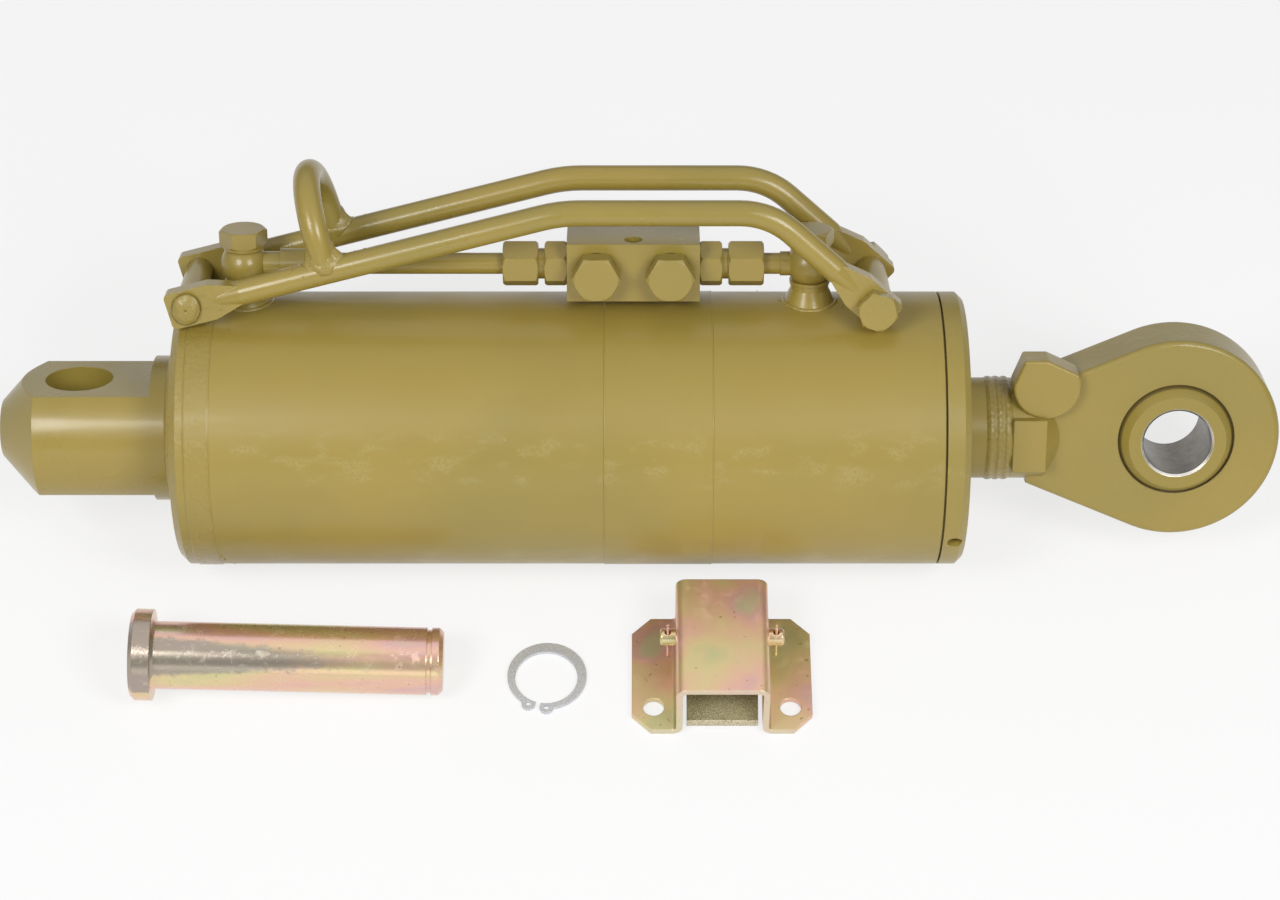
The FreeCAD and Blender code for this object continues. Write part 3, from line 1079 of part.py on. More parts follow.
def latch():
    wide = "(catch_width - 2 * catch_sheet - 2 * latch_side)"
    slope = spot(turn=("1; 0; 0", "latch_slope"))
    whole = box("latch_leaf", wide, "latch_length", "latch_thick", x=f"0 - {wide} / 2",
                y="0 - latch_length", z="0 - latch_thick / 2")
    # the free end is sheared upright, as it stands with the flap closed
    sheared = doc.addObject("Part::Box", "latch_end")
    bind(sheared, Length=f"{wide} + 2", Width="latch_thick", Height="3 * latch_thick")
    shifted(sheared, spot(y="0 - latch_length", z="0 - latch_thick / 2",
                          turn=("1; 0; 0", "0 - latch_slope")),
            spot(x=f"0 - {wide} / 2 - 1", y="0 - latch_thick", z="0 - latch_thick"))
    leaf = cut("latch_leaf_cut", whole, sheared)
    knuckle = cylinder("latch_knuckle", "knuckle_outer / 2", wide, x=f"0 - {wide} / 2", along="X")
    way = cylinder("latch_way", "latch_pin / 2 + fit", f"{wide} + 2", x=f"0 - {wide} / 2 - 1",
                   along="X")
    notch = box("latch_notch_box", "latch_notch", "knuckle_outer + 2", "knuckle_outer + 2",
                x="0 - latch_notch / 2", y="0 - knuckle_outer / 2 - 1", z="0 - knuckle_outer / 2 - 1")
    placed(cut("latch_cut", fuse("latch_solid", leaf, knuckle), way, notch), "latch_flap",
           CATCH, PIVOT, slope, leaning=False)

    wire = num("latch_wire")
    turns = round(num("latch_turns"))
    radius = num("latch_pin / 2 + play + latch_wire / 2")
    pitch = wire + num("play")
    length = pitch * turns
    spring = coil(turns, pitch, radius, wire, leg=num("knuckle_outer / 2 + latch_leg"))
    placed(formed("latch_coil", spring), "latch_spring", CATCH, PIVOT, slope,
           spot(x=f"0 - {length / 2}", turn=("0; 1; 0", "90")), leaning=False)


# ---------------------------------------------------------------------------------------------
# Build, check and write
# ---------------------------------------------------------------------------------------------
for build in (barrel, tractor_end, gland, piston_and_rod, swivel_eye, oil_line, valve_block,
              guard, hitch_pin, circlip, catch, latch):
    build()
doc.recompute()

faults = [item.Name for item in doc.Objects
          if any(state in ("Invalid", "Error") for state in item.State)]
for piece in pieces:
    if piece.Shape.isNull() or not piece.Shape.isValid() or not piece.Shape.Solids:
        faults.append(piece.Label)
if faults:
    raise RuntimeError("not built: " + ", ".join(faults))
for piece in pieces:
    piece.Shape.exportStep(f"parts/{piece.Label}.step")
print(len(pieces), "pieces written")
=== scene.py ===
# %% [markdown]
# # Dressing a hydraulic top link
# The link, its hitch pin, circlip and catch bracket arrive as finished solids in their true places.
# This notebook gives them what a camera sees: sprayed enamel, yellow zinc plate, weld beads,
# spatter and handling marks, then a floor, studio light and a camera.

# %% Load the frame
import math

import bmesh
import bpy
import numpy as np
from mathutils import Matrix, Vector, noise


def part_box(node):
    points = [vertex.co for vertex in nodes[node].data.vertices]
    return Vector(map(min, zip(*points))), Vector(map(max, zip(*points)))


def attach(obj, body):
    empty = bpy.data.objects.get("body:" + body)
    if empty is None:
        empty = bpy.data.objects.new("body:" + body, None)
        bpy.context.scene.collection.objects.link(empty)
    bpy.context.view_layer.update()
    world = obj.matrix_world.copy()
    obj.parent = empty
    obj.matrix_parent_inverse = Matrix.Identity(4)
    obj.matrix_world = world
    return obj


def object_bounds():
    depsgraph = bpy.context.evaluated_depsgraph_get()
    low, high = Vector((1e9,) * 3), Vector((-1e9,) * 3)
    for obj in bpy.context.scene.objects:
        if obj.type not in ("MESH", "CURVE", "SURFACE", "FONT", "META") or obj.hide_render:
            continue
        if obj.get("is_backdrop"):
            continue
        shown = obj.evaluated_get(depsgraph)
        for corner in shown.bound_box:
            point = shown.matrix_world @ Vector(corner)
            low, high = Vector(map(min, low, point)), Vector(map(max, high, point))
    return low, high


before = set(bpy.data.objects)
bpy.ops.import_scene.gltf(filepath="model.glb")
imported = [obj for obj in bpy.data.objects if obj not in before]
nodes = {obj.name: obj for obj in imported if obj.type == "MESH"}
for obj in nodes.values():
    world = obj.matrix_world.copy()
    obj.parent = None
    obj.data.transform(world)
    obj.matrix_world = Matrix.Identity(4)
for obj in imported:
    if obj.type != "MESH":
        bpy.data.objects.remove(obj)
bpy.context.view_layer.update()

# %% [markdown]
# The link lies rolled back about its long axis, so most of its pieces are easiest to place in a
# frame that rolls with it: X along the barrel, Z up through the valve. One small function carries
# a point from that frame to the floor's, and a second measures any solid in it.

# %% The link's own frame
LEAN = math.radians(29)
SIN, COS = math.sin(LEAN), math.cos(LEAN)
FRONT_UP = (0.0, -0.62, 0.78)  # towards whoever looks at the link across the table


def to_floor(x, y, z):
    """A point of the rolled link frame, in the frame that the floor and the camera share."""
    return Vector((x, y * COS + z * SIN, -y * SIN + z * COS))


def link_box(name):
    """Lowest and highest corner of a solid, measured in the rolled link frame."""
    mesh = nodes[name].data
    flat = np.empty(len(mesh.vertices) * 3)
    mesh.vertices.foreach_get("co", flat)
    x, y, z = flat.reshape(-1, 3).T
    rolled = np.array([x, y * COS - z * SIN, y * SIN + z * COS])
    return Vector(rolled.min(1)), Vector(rolled.max(1))


tube_low, tube_high = link_box("barrel_tube")
BARREL = (tube_high.z - tube_low.z) / 2
print("barrel radius in mm:", round(BARREL * 1000, 2))

# %% [markdown]
# Every finish is a small tree of shader nodes. One helper adds a node, sets its values and
# wires its inputs in a single line, so that a finish reads as a short list of decisions.


# %% Shader helpers
def colour(red, green, blue):
    """A paint chart's 0-255 colour as the shader's linear colour."""
    parts = [(v / 255 / 12.92) if v <= 10 else ((v / 255 + 0.055) / 1.055) ** 2.4
             for v in (red, green, blue)]
    return (*parts, 1.0)


class Finish:
    """A material in the making: its tree, its shader and the helpers that wire them."""

    def __init__(self, name, base, metallic, roughness, **sockets):
        self.material = bpy.data.materials.new(name)
        self.material.use_nodes = True
        self.tree = self.material.node_tree
        self.shader = self.tree.nodes["Principled BSDF"]
        self.shader.inputs["Base Color"].default_value = base
        self.shader.inputs["Metallic"].default_value = metallic
        self.shader.inputs["Roughness"].default_value = roughness
        for socket, value in sockets.items():
            self.shader.inputs[socket.replace("_", " ")].default_value = value
        self.normal = None

    def add(self, kind, wires=None, **values):
        made = self.tree.nodes.new("ShaderNode" + kind)
        for key, value in values.items():
            if hasattr(made, key):
                setattr(made, key, value)
            else:
                made.inputs[key.replace("_", " ")].default_value = value
        for socket, source in (wires or {}).items():
            self.tree.links.new(source, made.inputs[socket])
        return made

    def place(self, stretch=(1, 1, 1), roll=LEAN, shift=(0, 0, 0)):
        """Object coordinates, rolled with the link and stretched along its axes."""
        here = self.add("TexCoord").outputs["Object"]
        rolled = self.add("Mapping", {"Vector": here}, Rotation=(roll, 0, 0), Location=shift)
        return self.add("Mapping", {"Vector": rolled.outputs[0]}, Scale=stretch).outputs[0]

    def noise(self, where, scale, detail=3.0, roughness=0.5):
        return self.add("TexNoise", {"Vector": where}, Scale=scale, Detail=detail,
                        Roughness=roughness).outputs["Fac"]

    def step(self, value, low, high, start=0.0, end=1.0):
        """A soft step: start below low, end above high."""
        return self.add("MapRange", {"Value": value}, interpolation_type="SMOOTHSTEP",
                        From_Min=low, From_Max=high, To_Min=start, To_Max=end).outputs[0]

    def sum(self, operation, first, second):
        made = self.add("Math", operation=operation)
        for socket, value in zip(made.inputs, (first, second)):
            if isinstance(value, (int, float)):
                socket.default_value = value
            else:
                self.tree.links.new(value, socket)
        return made.outputs[0]

    def blend(self, share, first, second, mode="MIX"):
        made = self.add("Mix", data_type="RGBA", blend_type=mode)
        for index, value in ((0, share), (6, first), (7, second)):
            if isinstance(value, (int, float, tuple)):
                made.inputs[index].default_value = value
            else:
                self.tree.links.new(value, made.inputs[index])
        return made.outputs[2]

    def use(self, socket, source):
        self.tree.links.new(source, self.shader.inputs[socket])

    def soften(self, radius):
        """Round the sharp edges of a solid, to the eye, by this radius."""
        self.normal = self.add("Bevel", Radius=radius, samples=6).outputs[0]
        self.use("Normal", self.normal)

    def bump(self, height, distance, strength=1.0):
        """Each call lays its relief over the last one."""
        made = self.add("Bump", {"Height": height}, Distance=distance, Strength=strength)
        if self.normal is not None:
            self.tree.links.new(self.normal, made.inputs["Normal"])
        self.normal = made.outputs[0]
        self.use("Normal", self.normal)


def axis_parts(finish, where):
    return finish.add("SeparateXYZ", {"Vector": where}).outputs


def from_axis(finish, where, centre):
    """Distance from a line along Y through centre, as for the ball's bore."""
    x, y, z = axis_parts(finish, where)
    x_off = finish.sum("SUBTRACT", x, centre.x)
    squares = finish.sum("ADD", finish.sum("MULTIPLY", x_off, x_off), finish.sum("MULTIPLY", z, z))
    return finish.sum("SQRT", squares, 0.0)


# %% [markdown]
# The enamel is one sprayed coat over everything, welds and unions included. A real coat isn't
# flat colour: it drifts a little between warm and green, has a faint orange-peel ripple, runs
# round every sharp edge, and dulls in clouds where hands and straps rubbed it. Forged and burnt
# surfaces show their own texture through it, so one recipe serves them all with a few switches:
# a grain for forged and welded metal; wear and chips for the barrel, with a pale painted sheen
# that stands for the floor's reflection on its belly; and a thin ring of painted shade and dirt in
# the gap round the swivel.

# %% Enamel
OLIVE = colour(153, 134, 62)
OLIVE_WARM = colour(157, 136, 62)
OLIVE_GREEN = colour(148, 131, 61)
CHALK_AND_SHEEN = colour(190, 182, 130)
GRIME_AND_SHADE = colour(84, 68, 34)
ball_low, ball_high = link_box("swivel_ball")
ball_middle = (ball_low + ball_high) / 2
BORE, SEAT_LIP = 0.016, 0.0275


EDGE_ROUND = 0.0005
PEEL_SCALE, PEEL_DEPTH, PEEL_STRENGTH = 260, 0.00012, 0.35


def drifting_olive(paint, where):
    """The plain coat, which drifts between its warm and its green side."""
    drift = paint.step(paint.noise(where, 9, 4), 0.35, 0.65)
    return paint.blend(drift, OLIVE_GREEN, OLIVE_WARM)


def orange_peel(paint, where):
    paint.bump(paint.noise(where, PEEL_SCALE, 2), PEEL_DEPTH, PEEL_STRENGTH)


def scuffs_and_sheen(paint, where):
    """Cloudy rubbing where straps lay, in a band along the front of the barrel; on its belly the
    same clouds are a pale painted sheen that stands for the floor's reflection.
    """
    x, y, z = axis_parts(paint, where)
    band = paint.sum("MULTIPLY", paint.step(z, -0.010, 0.004), paint.step(z, 0.014, 0.028, 1, 0))
    # On the belly the pale colour is a painted sheen that stands for the floor's reflection.
    belly = paint.step(z, -0.055, -0.035, 1, 0)
    front = paint.step(y, -0.03, -0.015, 1, 0)
    reach = paint.sum("MULTIPLY", front, paint.sum("MAXIMUM", band, belly))
    clouds = paint.step(paint.noise(paint.place((70, 150, 150)), 1.0, 3, 0.5), 0.50, 0.66)
    clouds = paint.sum("MULTIPLY", clouds, paint.step(paint.noise(where, 900, 2), 0.35, 0.6))
    return paint.sum("MULTIPLY", clouds, reach)


def chips(paint, where):
    """A few torn specks: the hearts of some Voronoi cells, with ragged rims."""
    cells = paint.add("TexVoronoi", {"Vector": where}, Scale=38.0)
    torn = paint.sum("ADD", cells.outputs["Distance"],
                     paint.sum("MULTIPLY", paint.noise(where, 700, 2), 0.05))
    pick = paint.step(paint.add("SeparateColor", {0: cells.outputs["Color"]}).outputs[0],
                      0.70, 0.72)
    return paint.sum("MULTIPLY", paint.step(torn, 0.040, 0.050, 1, 0), pick)


def seat_shade_and_dirt(paint, where):
    """A thin dark ring on the eye, just round the ball's seat: painted shade in the gap, with some
    dirt.
    """
    off = from_axis(paint, where, ball_middle)
    return paint.sum("MULTIPLY", paint.step(off, SEAT_LIP - 0.0016, SEAT_LIP - 0.0012),
                     paint.step(off, SEAT_LIP, SEAT_LIP + 0.0004, 1, 0))


def enamel(name, grain=0.0, grain_scale=300.0, gloss=0.36, wear_and_sheen=0.0, shade_and_dirt_ring=False):
    """The one coat. Grain and its scale are a forging's or a weld's, gloss is its roughness."""
    paint = Finish(name, OLIVE, 0.0, gloss, IOR=1.5, Coat_Weight=0.2, Coat_Roughness=0.12)
    where = paint.place()
    shade = drifting_olive(paint, where)
    smudge = paint.step(paint.noise(paint.place((8, 20, 20)), 1.0, 5, 0.6), 0.62, 0.74)
    shade = paint.blend(paint.sum("MULTIPLY", smudge, 0.12), shade, GRIME_AND_SHADE)
    # The pale colour lays rub marks and chips, and a painted sheen of the floor's reflection on the
    # barrel's belly.
    if wear_and_sheen:
        shade = paint.blend(paint.sum("MULTIPLY", scuffs_and_sheen(paint, where), wear_and_sheen), shade, CHALK_AND_SHEEN)
        shade = paint.blend(paint.sum("MULTIPLY", chips(paint, where), 0.7), shade, CHALK_AND_SHEEN)
    # Painted shade and some dirt darken the gap round the ball's seat.
    if shade_and_dirt_ring:
        shade = paint.blend(paint.sum("MULTIPLY", seat_shade_and_dirt(paint, where), 0.85), shade, GRIME_AND_SHADE)
    paint.use("Base Color", shade)
    paint.use("Roughness", paint.step(paint.noise(where, 34, 3), 0.3, 0.7, gloss - 0.04,
                                      gloss + 0.06))
    paint.soften(EDGE_ROUND)
    orange_peel(paint, where)
    if grain:
        paint.bump(paint.noise(where, grain_scale, 5, 0.65), grain)
    return paint.material


smooth_enamel = enamel("olive_enamel_smooth", gloss=0.30)
barrel_enamel = enamel("olive_enamel_barrel", gloss=0.42, wear_and_sheen=0.20)
forged_enamel = enamel("olive_enamel_forged", grain=0.0004, grain_scale=150, shade_and_dirt_ring=True)
bead_enamel = enamel("olive_enamel_on_weld", grain=0.0006, grain_scale=420, gloss=0.24)

# %% [markdown]
# Zinc plate with a yellow passivate never shows one hue. The film is a few hundred
# nanometres thick and its thickness wanders, so the colour runs from straw through rose to a
# watery green. Wide soft noise picks the hue from a ramp, and a finer one adds the rub marks.


# %% Yellow zinc plate
PIN_RADIUS = 0.0159
EDGE_FADE = 0.0002


def zinc_plate(name, stretch, roughness, rub, front=None, rolled=None):
    """The turned pin takes long rub marks, and on the side that faces the camera, given as a point
    on its axis, a direction and its radius, a grey band is painted as the reflection of the dark
    room round the camera. Pressed sheet has pale sheared edges along its front."""
    plate = Finish(name, colour(220, 188, 142), 0.78, roughness)
    hue = plate.noise(plate.place(stretch, roll=0.0), 1.0, 2.5, 0.45)
    ramp = plate.add("ValToRGB", {"Fac": hue})
    stops = [(0.30, (206, 202, 154)), (0.40, (222, 206, 156)), (0.48, (228, 198, 160)),
             (0.56, (232, 190, 168)), (0.63, (224, 182, 176)), (0.72, (206, 200, 168))]
    elements = ramp.color_ramp.elements
    elements[0].position, elements[1].position = stops[0][0], stops[-1][0]
    for position, tint in stops[1:-1]:
        elements.new(position)
    for element, (position, tint) in zip(elements, stops):
        element.color = colour(*tint)
    shade = ramp.outputs["Color"]
    where = plate.place(roll=0.0)
    fine = plate.noise(where, 1300, 3, 0.6)
    mottle = plate.step(plate.noise(where, 160, 5, 0.7), 0.45, 0.75)
    scratch = plate.step(plate.noise(plate.place((60, 900, 900), roll=0.0), 1.0, 4, 0.7), 0.5, 0.7)
    marks = plate.sum("MULTIPLY", plate.sum("MULTIPLY", scratch, mottle), rub)
    shade = plate.blend(marks, shade, colour(236, 230, 216))
    pits = plate.step(plate.noise(where, 330, 1), 0.72, 0.76)
    shade = plate.blend(plate.sum("MULTIPLY", pits, 0.45), shade, colour(120, 96, 66))
    # The grey band is a painted reflection: along the side of the pin that faces the given
    # direction, the camera's, it stands for the dark room round the camera.
    if rolled is not None:
        heart, toward, radius = rolled
        facing = plate.add("VectorMath", {0: where}, operation="SUBTRACT")
        facing.inputs[1].default_value = heart
        facing = plate.add("VectorMath", {0: facing.outputs[0]}, operation="DOT_PRODUCT")
        facing.inputs[1].default_value = toward
        wavy = plate.sum("MULTIPLY", plate.sum("SUBTRACT", mottle, 0.5), 0.0012)
        near_line = plate.sum("ADD", facing.outputs["Value"], wavy)
        line = plate.step(near_line, radius * 0.84, radius * 0.93)
        grey = plate.blend(marks, colour(158, 150, 142), colour(226, 220, 210))
        shade = plate.blend(plate.sum("MULTIPLY", line, 0.85), shade, grey)
    if front is not None:
        x, y, z = axis_parts(plate, where)
        edge = plate.step(y, front + EDGE_FADE, front + 2 * EDGE_FADE, 1, 0)
        grit = plate.step(fine, 0.35, 0.6, 0.3, 0.9)
        shade = plate.blend(plate.sum("MULTIPLY", edge, grit), shade, colour(222, 208, 184))
    plate.use("Base Color", shade)
    plate.use("Roughness", plate.step(mottle, 0, 1, roughness - 0.06, roughness + 0.10))
    plate.soften(0.0006)
    plate.bump(fine, 0.00004, 0.5)
    return plate.material


catch_low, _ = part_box("catch_bracket")
pin_low, pin_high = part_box("hitch_pin")
pin_heart = Vector((0.0, (pin_low.y + pin_high.y) / 2, (pin_low.z + pin_high.z) / 2 - 0.002))
# The pin's grey band is a painted reflection of the dark room round the camera, laid on the side
# that faces it.
pin_zinc = zinc_plate("yellow_zinc_turned", (12, 75, 75), 0.28, rub=0.8,
                      rolled=(pin_heart, FRONT_UP, PIN_RADIUS))
sheet_zinc = zinc_plate("yellow_zinc_sheet", (34, 30, 30), 0.44, rub=0.15, front=catch_low.y)

# %% [markdown]
# The latch flap was plated in another bath and came out a dark olive, sandy to the touch. Its
# free end is where the strip was sheared: rough and paler. That end stands upright, so it is
# found by its place along Y, read from the flap itself.

# %% Dark plate on the latch flap
flap_low, flap_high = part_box("latch_flap")
dark = Finish("dark_olive_plate", colour(120, 114, 82), 0.5, 0.5)
where = dark.place(roll=0.0)
grit = dark.noise(where, 1500, 4, 0.7)
blotch = dark.noise(where, 90, 4, 0.6)
shade = dark.blend(dark.step(grit, 0.35, 0.7), colour(100, 94, 66), colour(158, 150, 112))
shade = dark.blend(dark.step(blotch, 0.4, 0.7, 0, 0.4), shade, colour(138, 126, 84))
x, y, z = axis_parts(dark, where)
sheared = dark.step(y, flap_low.y + EDGE_FADE, flap_low.y + 2 * EDGE_FADE, 1, 0)
shade = dark.blend(dark.sum("MULTIPLY", sheared, dark.step(grit, 0.3, 0.55)), shade,
                   colour(214, 202, 172))
dark.use("Base Color", shade)
dark.soften(0.0004)
dark.bump(grit, 0.0002, 0.8)
print("flap in mm:", [round(v * 1000, 1) for v in flap_high - flap_low])

# %% [markdown]
# Bare steels differ mostly in what the last tool left: turning rings on the rod-side parts, a
# dull blasted look on the circlip, plain drawn wire on the springs. The rings are a wave
# texture along the turning axis.


# %% Bare metals, rubber and bronze
def turned_metal(name, base, roughness, rings=0.00001, metallic=1.0):
    metal = Finish(name, base, metallic, roughness)
    where = metal.place()
    wave = metal.add("TexWave", {"Vector": where}, bands_direction="X", Scale=900.0,
                     Distortion=0.6, Detail=1.0).outputs["Fac"]
    cloud = metal.noise(where, 60, 4)
    metal.use("Base Color", metal.blend(metal.step(cloud, 0.3, 0.7, 0, 0.25), base,
                                        (base[0] * 0.7, base[1] * 0.7, base[2] * 0.72, 1)))
    metal.use("Roughness", metal.step(cloud, 0.3, 0.7, roughness, roughness + 0.12))
    metal.soften(0.0003)
    metal.bump(wave, rings)
    return metal.material


bare_steel = turned_metal("machined_steel", colour(188, 188, 186), 0.32)
spring_wire = turned_metal("drawn_spring_wire", colour(150, 150, 152), 0.38)
bronze = turned_metal("guide_bronze", colour(176, 132, 82), 0.40)

clip = Finish("blasted_spring_steel", colour(210, 213, 218), 0.55, 0.45)
dust = clip.noise(clip.place(roll=0.0), 1100, 4, 0.6)
clip.use("Base Color", clip.blend(clip.step(dust, 0.35, 0.7), colour(196, 199, 205),
                                  colour(222, 224, 228)))
clip.soften(0.0003)
clip.bump(dust, 0.00005, 0.6)

rubber = Finish("black_seal_rubber", colour(26, 26, 27), 0.0, 0.55)
skin = rubber.noise(rubber.place(), 700, 3)
rubber.use("Base Color", rubber.blend(skin, colour(20, 20, 21), colour(38, 38, 39)))
rubber.bump(skin, 0.00004, 0.5)

# %% [markdown]
# Two pieces are only partly painted. The ball was masked inside its bore, which stays bare
# steel with a painted highlight on its rim, and the enamel on its face darkens with painted shade
# where it sinks into the eye's seat. The rod is hard chrome except for the short stretch that
# stood out of the barrel in the spray booth. Both finishes choose paint or metal by position, one
# by distance from the ball's axis and one by distance along the link.

# %% Half-painted ball and rod
PAINT_GLOSS = 0.36


def half_painted(name, metal_base, grain_scale):
    """Enamel that will give way to metal."""
    piece = Finish(name, OLIVE, 0.0, PAINT_GLOSS, IOR=1.5)
    where = piece.place()
    paint = drifting_olive(piece, where)
    cloud = piece.step(piece.noise(where, grain_scale, 5, 0.65), 0.3, 0.7)
    metal = piece.blend(cloud, metal_base, tuple(v * 0.72 for v in metal_base[:3]) + (1.0,))
    piece.soften(0.0004)
    orange_peel(piece, where)
    return piece, where, paint, metal


def finish_halves(piece, bare, paint, metal, metal_roughness):
    piece.use("Base Color", piece.blend(bare, paint, metal))
    piece.use("Metallic", bare)
    piece.use("Roughness", piece.step(bare, 0, 1, PAINT_GLOSS, metal_roughness))
    return piece.material


piece, where, paint, metal = half_painted("ball_enamel_bare_bore", colour(134, 129, 122), 240)
off = from_axis(piece, where, ball_middle)
bare = piece.step(off, BORE + 0.0011, BORE + 0.0014, 1, 0)
# A painted highlight brightens the bore's chamfered rim.
rim_highlight = piece.step(off, BORE + 0.0001, BORE + 0.0003)
metal = piece.blend(rim_highlight, metal, colour(226, 222, 214))
# Painted shade darkens the ball's face where it sinks into the eye's seat.
ball_seat_shade = piece.step(off, SEAT_LIP - 0.0018, SEAT_LIP - 0.0012)
paint = piece.blend(piece.sum("MULTIPLY", ball_seat_shade, 0.8), paint, GRIME_AND_SHADE)
ball_finish = finish_halves(piece, bare, paint, metal, 0.34)

_, collar_high = link_box("gland_nut")
piece, where, paint, metal = half_painted("rod_chrome_and_overspray", colour(205, 206, 208), 30)
x, y, z = axis_parts(piece, where)
bare = piece.step(x, collar_high.x - 0.0004, collar_high.x + 0.0004, 1, 0)
rod_finish = finish_halves(piece, bare, paint, metal, 0.12)
print("ball centre in mm:", [round(v * 1000, 1) for v in ball_middle])

# %% [markdown]
# With the finishes ready, each solid gets one. A table reads better than fifty assignments, a
# solid left out of it takes the smooth enamel, and a last check stops the script if the table
# names a solid that isn't there.

# %% Give every solid its finish
WEARS = {
    barrel_enamel: ["barrel_tube", "gland_nut"],
    forged_enamel: ["swivel_eye"],
    bead_enamel: ["base_cap", "base_weld_ring", "tractor_end_weld", "eye_weld_ring"],
    ball_finish: ["swivel_ball"],
    rod_finish: ["piston_rod"],
    pin_zinc: ["hitch_pin", "latch_pivot_pin"],
    sheet_zinc: ["catch_bracket", "split_pins"],
    dark.material: ["latch_flap"],
    clip.material: ["circlip"],
    spring_wire: ["latch_spring", "check_spring_base", "check_spring_rod"],
    bare_steel: ["piston", "piston_nut", "cutting_rings", "check_poppet_base",
                 "check_poppet_rod", "pilot_piston"],
    bronze: ["guide_bush", "piston_guide_rings"],
    rubber.material: ["rod_seal", "rod_wiper", "gland_o_ring", "piston_seal",
                      "check_plug_seals"],
}
dressed = {name: finish for finish, names in WEARS.items() for name in names}
for name, solid in nodes.items():
    solid.data.materials.clear()
    solid.data.materials.append(dressed.get(name, smooth_enamel))
unknown = sorted(set(dressed) - set(nodes))
assert not unknown, unknown
print("finishes in use:", len({m for m in dressed.values()}) + 1)

# %% [markdown]
# A hand-laid weld is a row of overlapping ripples. It follows a path, so it is a Geometry
# Nodes job: the path is resampled finely, its radius swells once per ripple and wanders a
# little, and a round section is swept along it. A bead's centre lies in the metal, so only
# its crown stands out.

# %% Weld bead tree
LINK = bpy.context.scene.collection.objects.link


def new_tree(name, sockets):
    tree = bpy.data.node_groups.new(name, "GeometryNodeTree")
    tree.interface.new_socket("Geometry", in_out="INPUT", socket_type="NodeSocketGeometry")
    for label, kind in sockets:
        tree.interface.new_socket(label, in_out="INPUT", socket_type="NodeSocket" + kind)
    tree.interface.new_socket("Geometry", in_out="OUTPUT", socket_type="NodeSocketGeometry")
    return tree


def geo(tree, kind, wires=None, **settings):
    made = tree.nodes.new(kind)
    for key, value in settings.items():
        if hasattr(made, key):
            setattr(made, key, value)
        else:
            made.inputs[key.replace("_", " ")].default_value = value
    for socket, source in (wires or {}).items():
        tree.links.new(source, made.inputs[socket])
    return made


def calc(tree, operation, first, second=0.0):
    made = tree.nodes.new("ShaderNodeMath")
    made.operation = operation
    for socket, value in zip(made.inputs, (first, second)):
        if isinstance(value, (int, float)):
            socket.default_value = value
        else:
            tree.links.new(value, socket)
    return made.outputs[0]


def close_tree(tree, geometry, material):
    """The common ending: real geometry, smooth, in its material."""
    smooth = geo(tree, "GeometryNodeSetShadeSmooth", {0: geometry})
    real = geo(tree, "GeometryNodeRealizeInstances", {0: smooth.outputs[0]})
    done = geo(tree, "GeometryNodeSetMaterial", {0: real.outputs[0], "Material": material})
    out = tree.nodes.new("NodeGroupOutput")
    tree.links.new(done.outputs[0], out.inputs[0])


bead_tree = new_tree("weld_bead", [("Width", "Float"), ("Ripple", "Float"), ("Swell", "Float"),
                                   ("Uneven", "Float"), ("Seed", "Float"),
                                   ("Material", "Material")])
given = bead_tree.nodes.new("NodeGroupInput").outputs
curve = geo(bead_tree, "GeometryNodeMeshToCurve", {0: given["Geometry"]}).outputs[0]
step = calc(bead_tree, "DIVIDE", given["Ripple"], 5.0)
fine = geo(bead_tree, "GeometryNodeResampleCurve", {"Curve": curve, "Length": step},
           mode="LENGTH").outputs[0]
travel = bead_tree.nodes.new("GeometryNodeSplineParameter").outputs["Length"]
turn = calc(bead_tree, "MULTIPLY", calc(bead_tree, "DIVIDE", travel, given["Ripple"]), math.pi)
crest = calc(bead_tree, "ABSOLUTE", calc(bead_tree, "SINE", turn))
wobble = geo(bead_tree, "ShaderNodeTexNoise", {"W": given["Seed"]}, noise_dimensions="4D",
             Scale=260.0, Detail=2.0)
uneven = calc(bead_tree, "MULTIPLY", calc(bead_tree, "SUBTRACT", wobble.outputs[0], 0.5),
              given["Uneven"])
lift = calc(bead_tree, "MULTIPLY", calc(bead_tree, "SUBTRACT", crest, 0.6), given["Swell"])
share = calc(bead_tree, "ADD", calc(bead_tree, "ADD", lift, uneven), 1.0)
radius = calc(bead_tree, "MULTIPLY", share, given["Width"])
ring = geo(bead_tree, "GeometryNodeCurvePrimitiveCircle", Resolution=10, Radius=1.0)
swept = geo(bead_tree, "GeometryNodeCurveToMesh",
            {"Curve": fine, "Profile Curve": ring.outputs["Curve"], "Scale": radius})
swept.inputs["Fill Caps"].default_value = True
close_tree(bead_tree, swept.outputs[0], given["Material"])
print("bead tree nodes:", len(bead_tree.nodes))


# %% Turn a path into a finished piece
def settled(piece, body):
    """Replace live Geometry Nodes by the plain mesh they made, then let it ride on its body."""
    graph = bpy.context.evaluated_depsgraph_get()
    mesh = bpy.data.meshes.new_from_object(piece.evaluated_get(graph))
    piece.modifiers.clear()
    piece.data = mesh
    work = bmesh.new()
    work.from_mesh(mesh)
    bmesh.ops.remove_doubles(work, verts=work.verts, dist=1e-7)
    bmesh.ops.recalc_face_normals(work, faces=work.faces)
    work.to_mesh(mesh)
    work.free()
    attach(piece, body)
    return piece


def with_tree(piece, tree, values):
    modifier = piece.modifiers.new(tree.name, "NODES")
    modifier.node_group = tree
    for socket in tree.interface.items_tree:
        if socket.in_out == "INPUT" and socket.name in values:
            modifier[socket.identifier] = values[socket.name]
    return piece


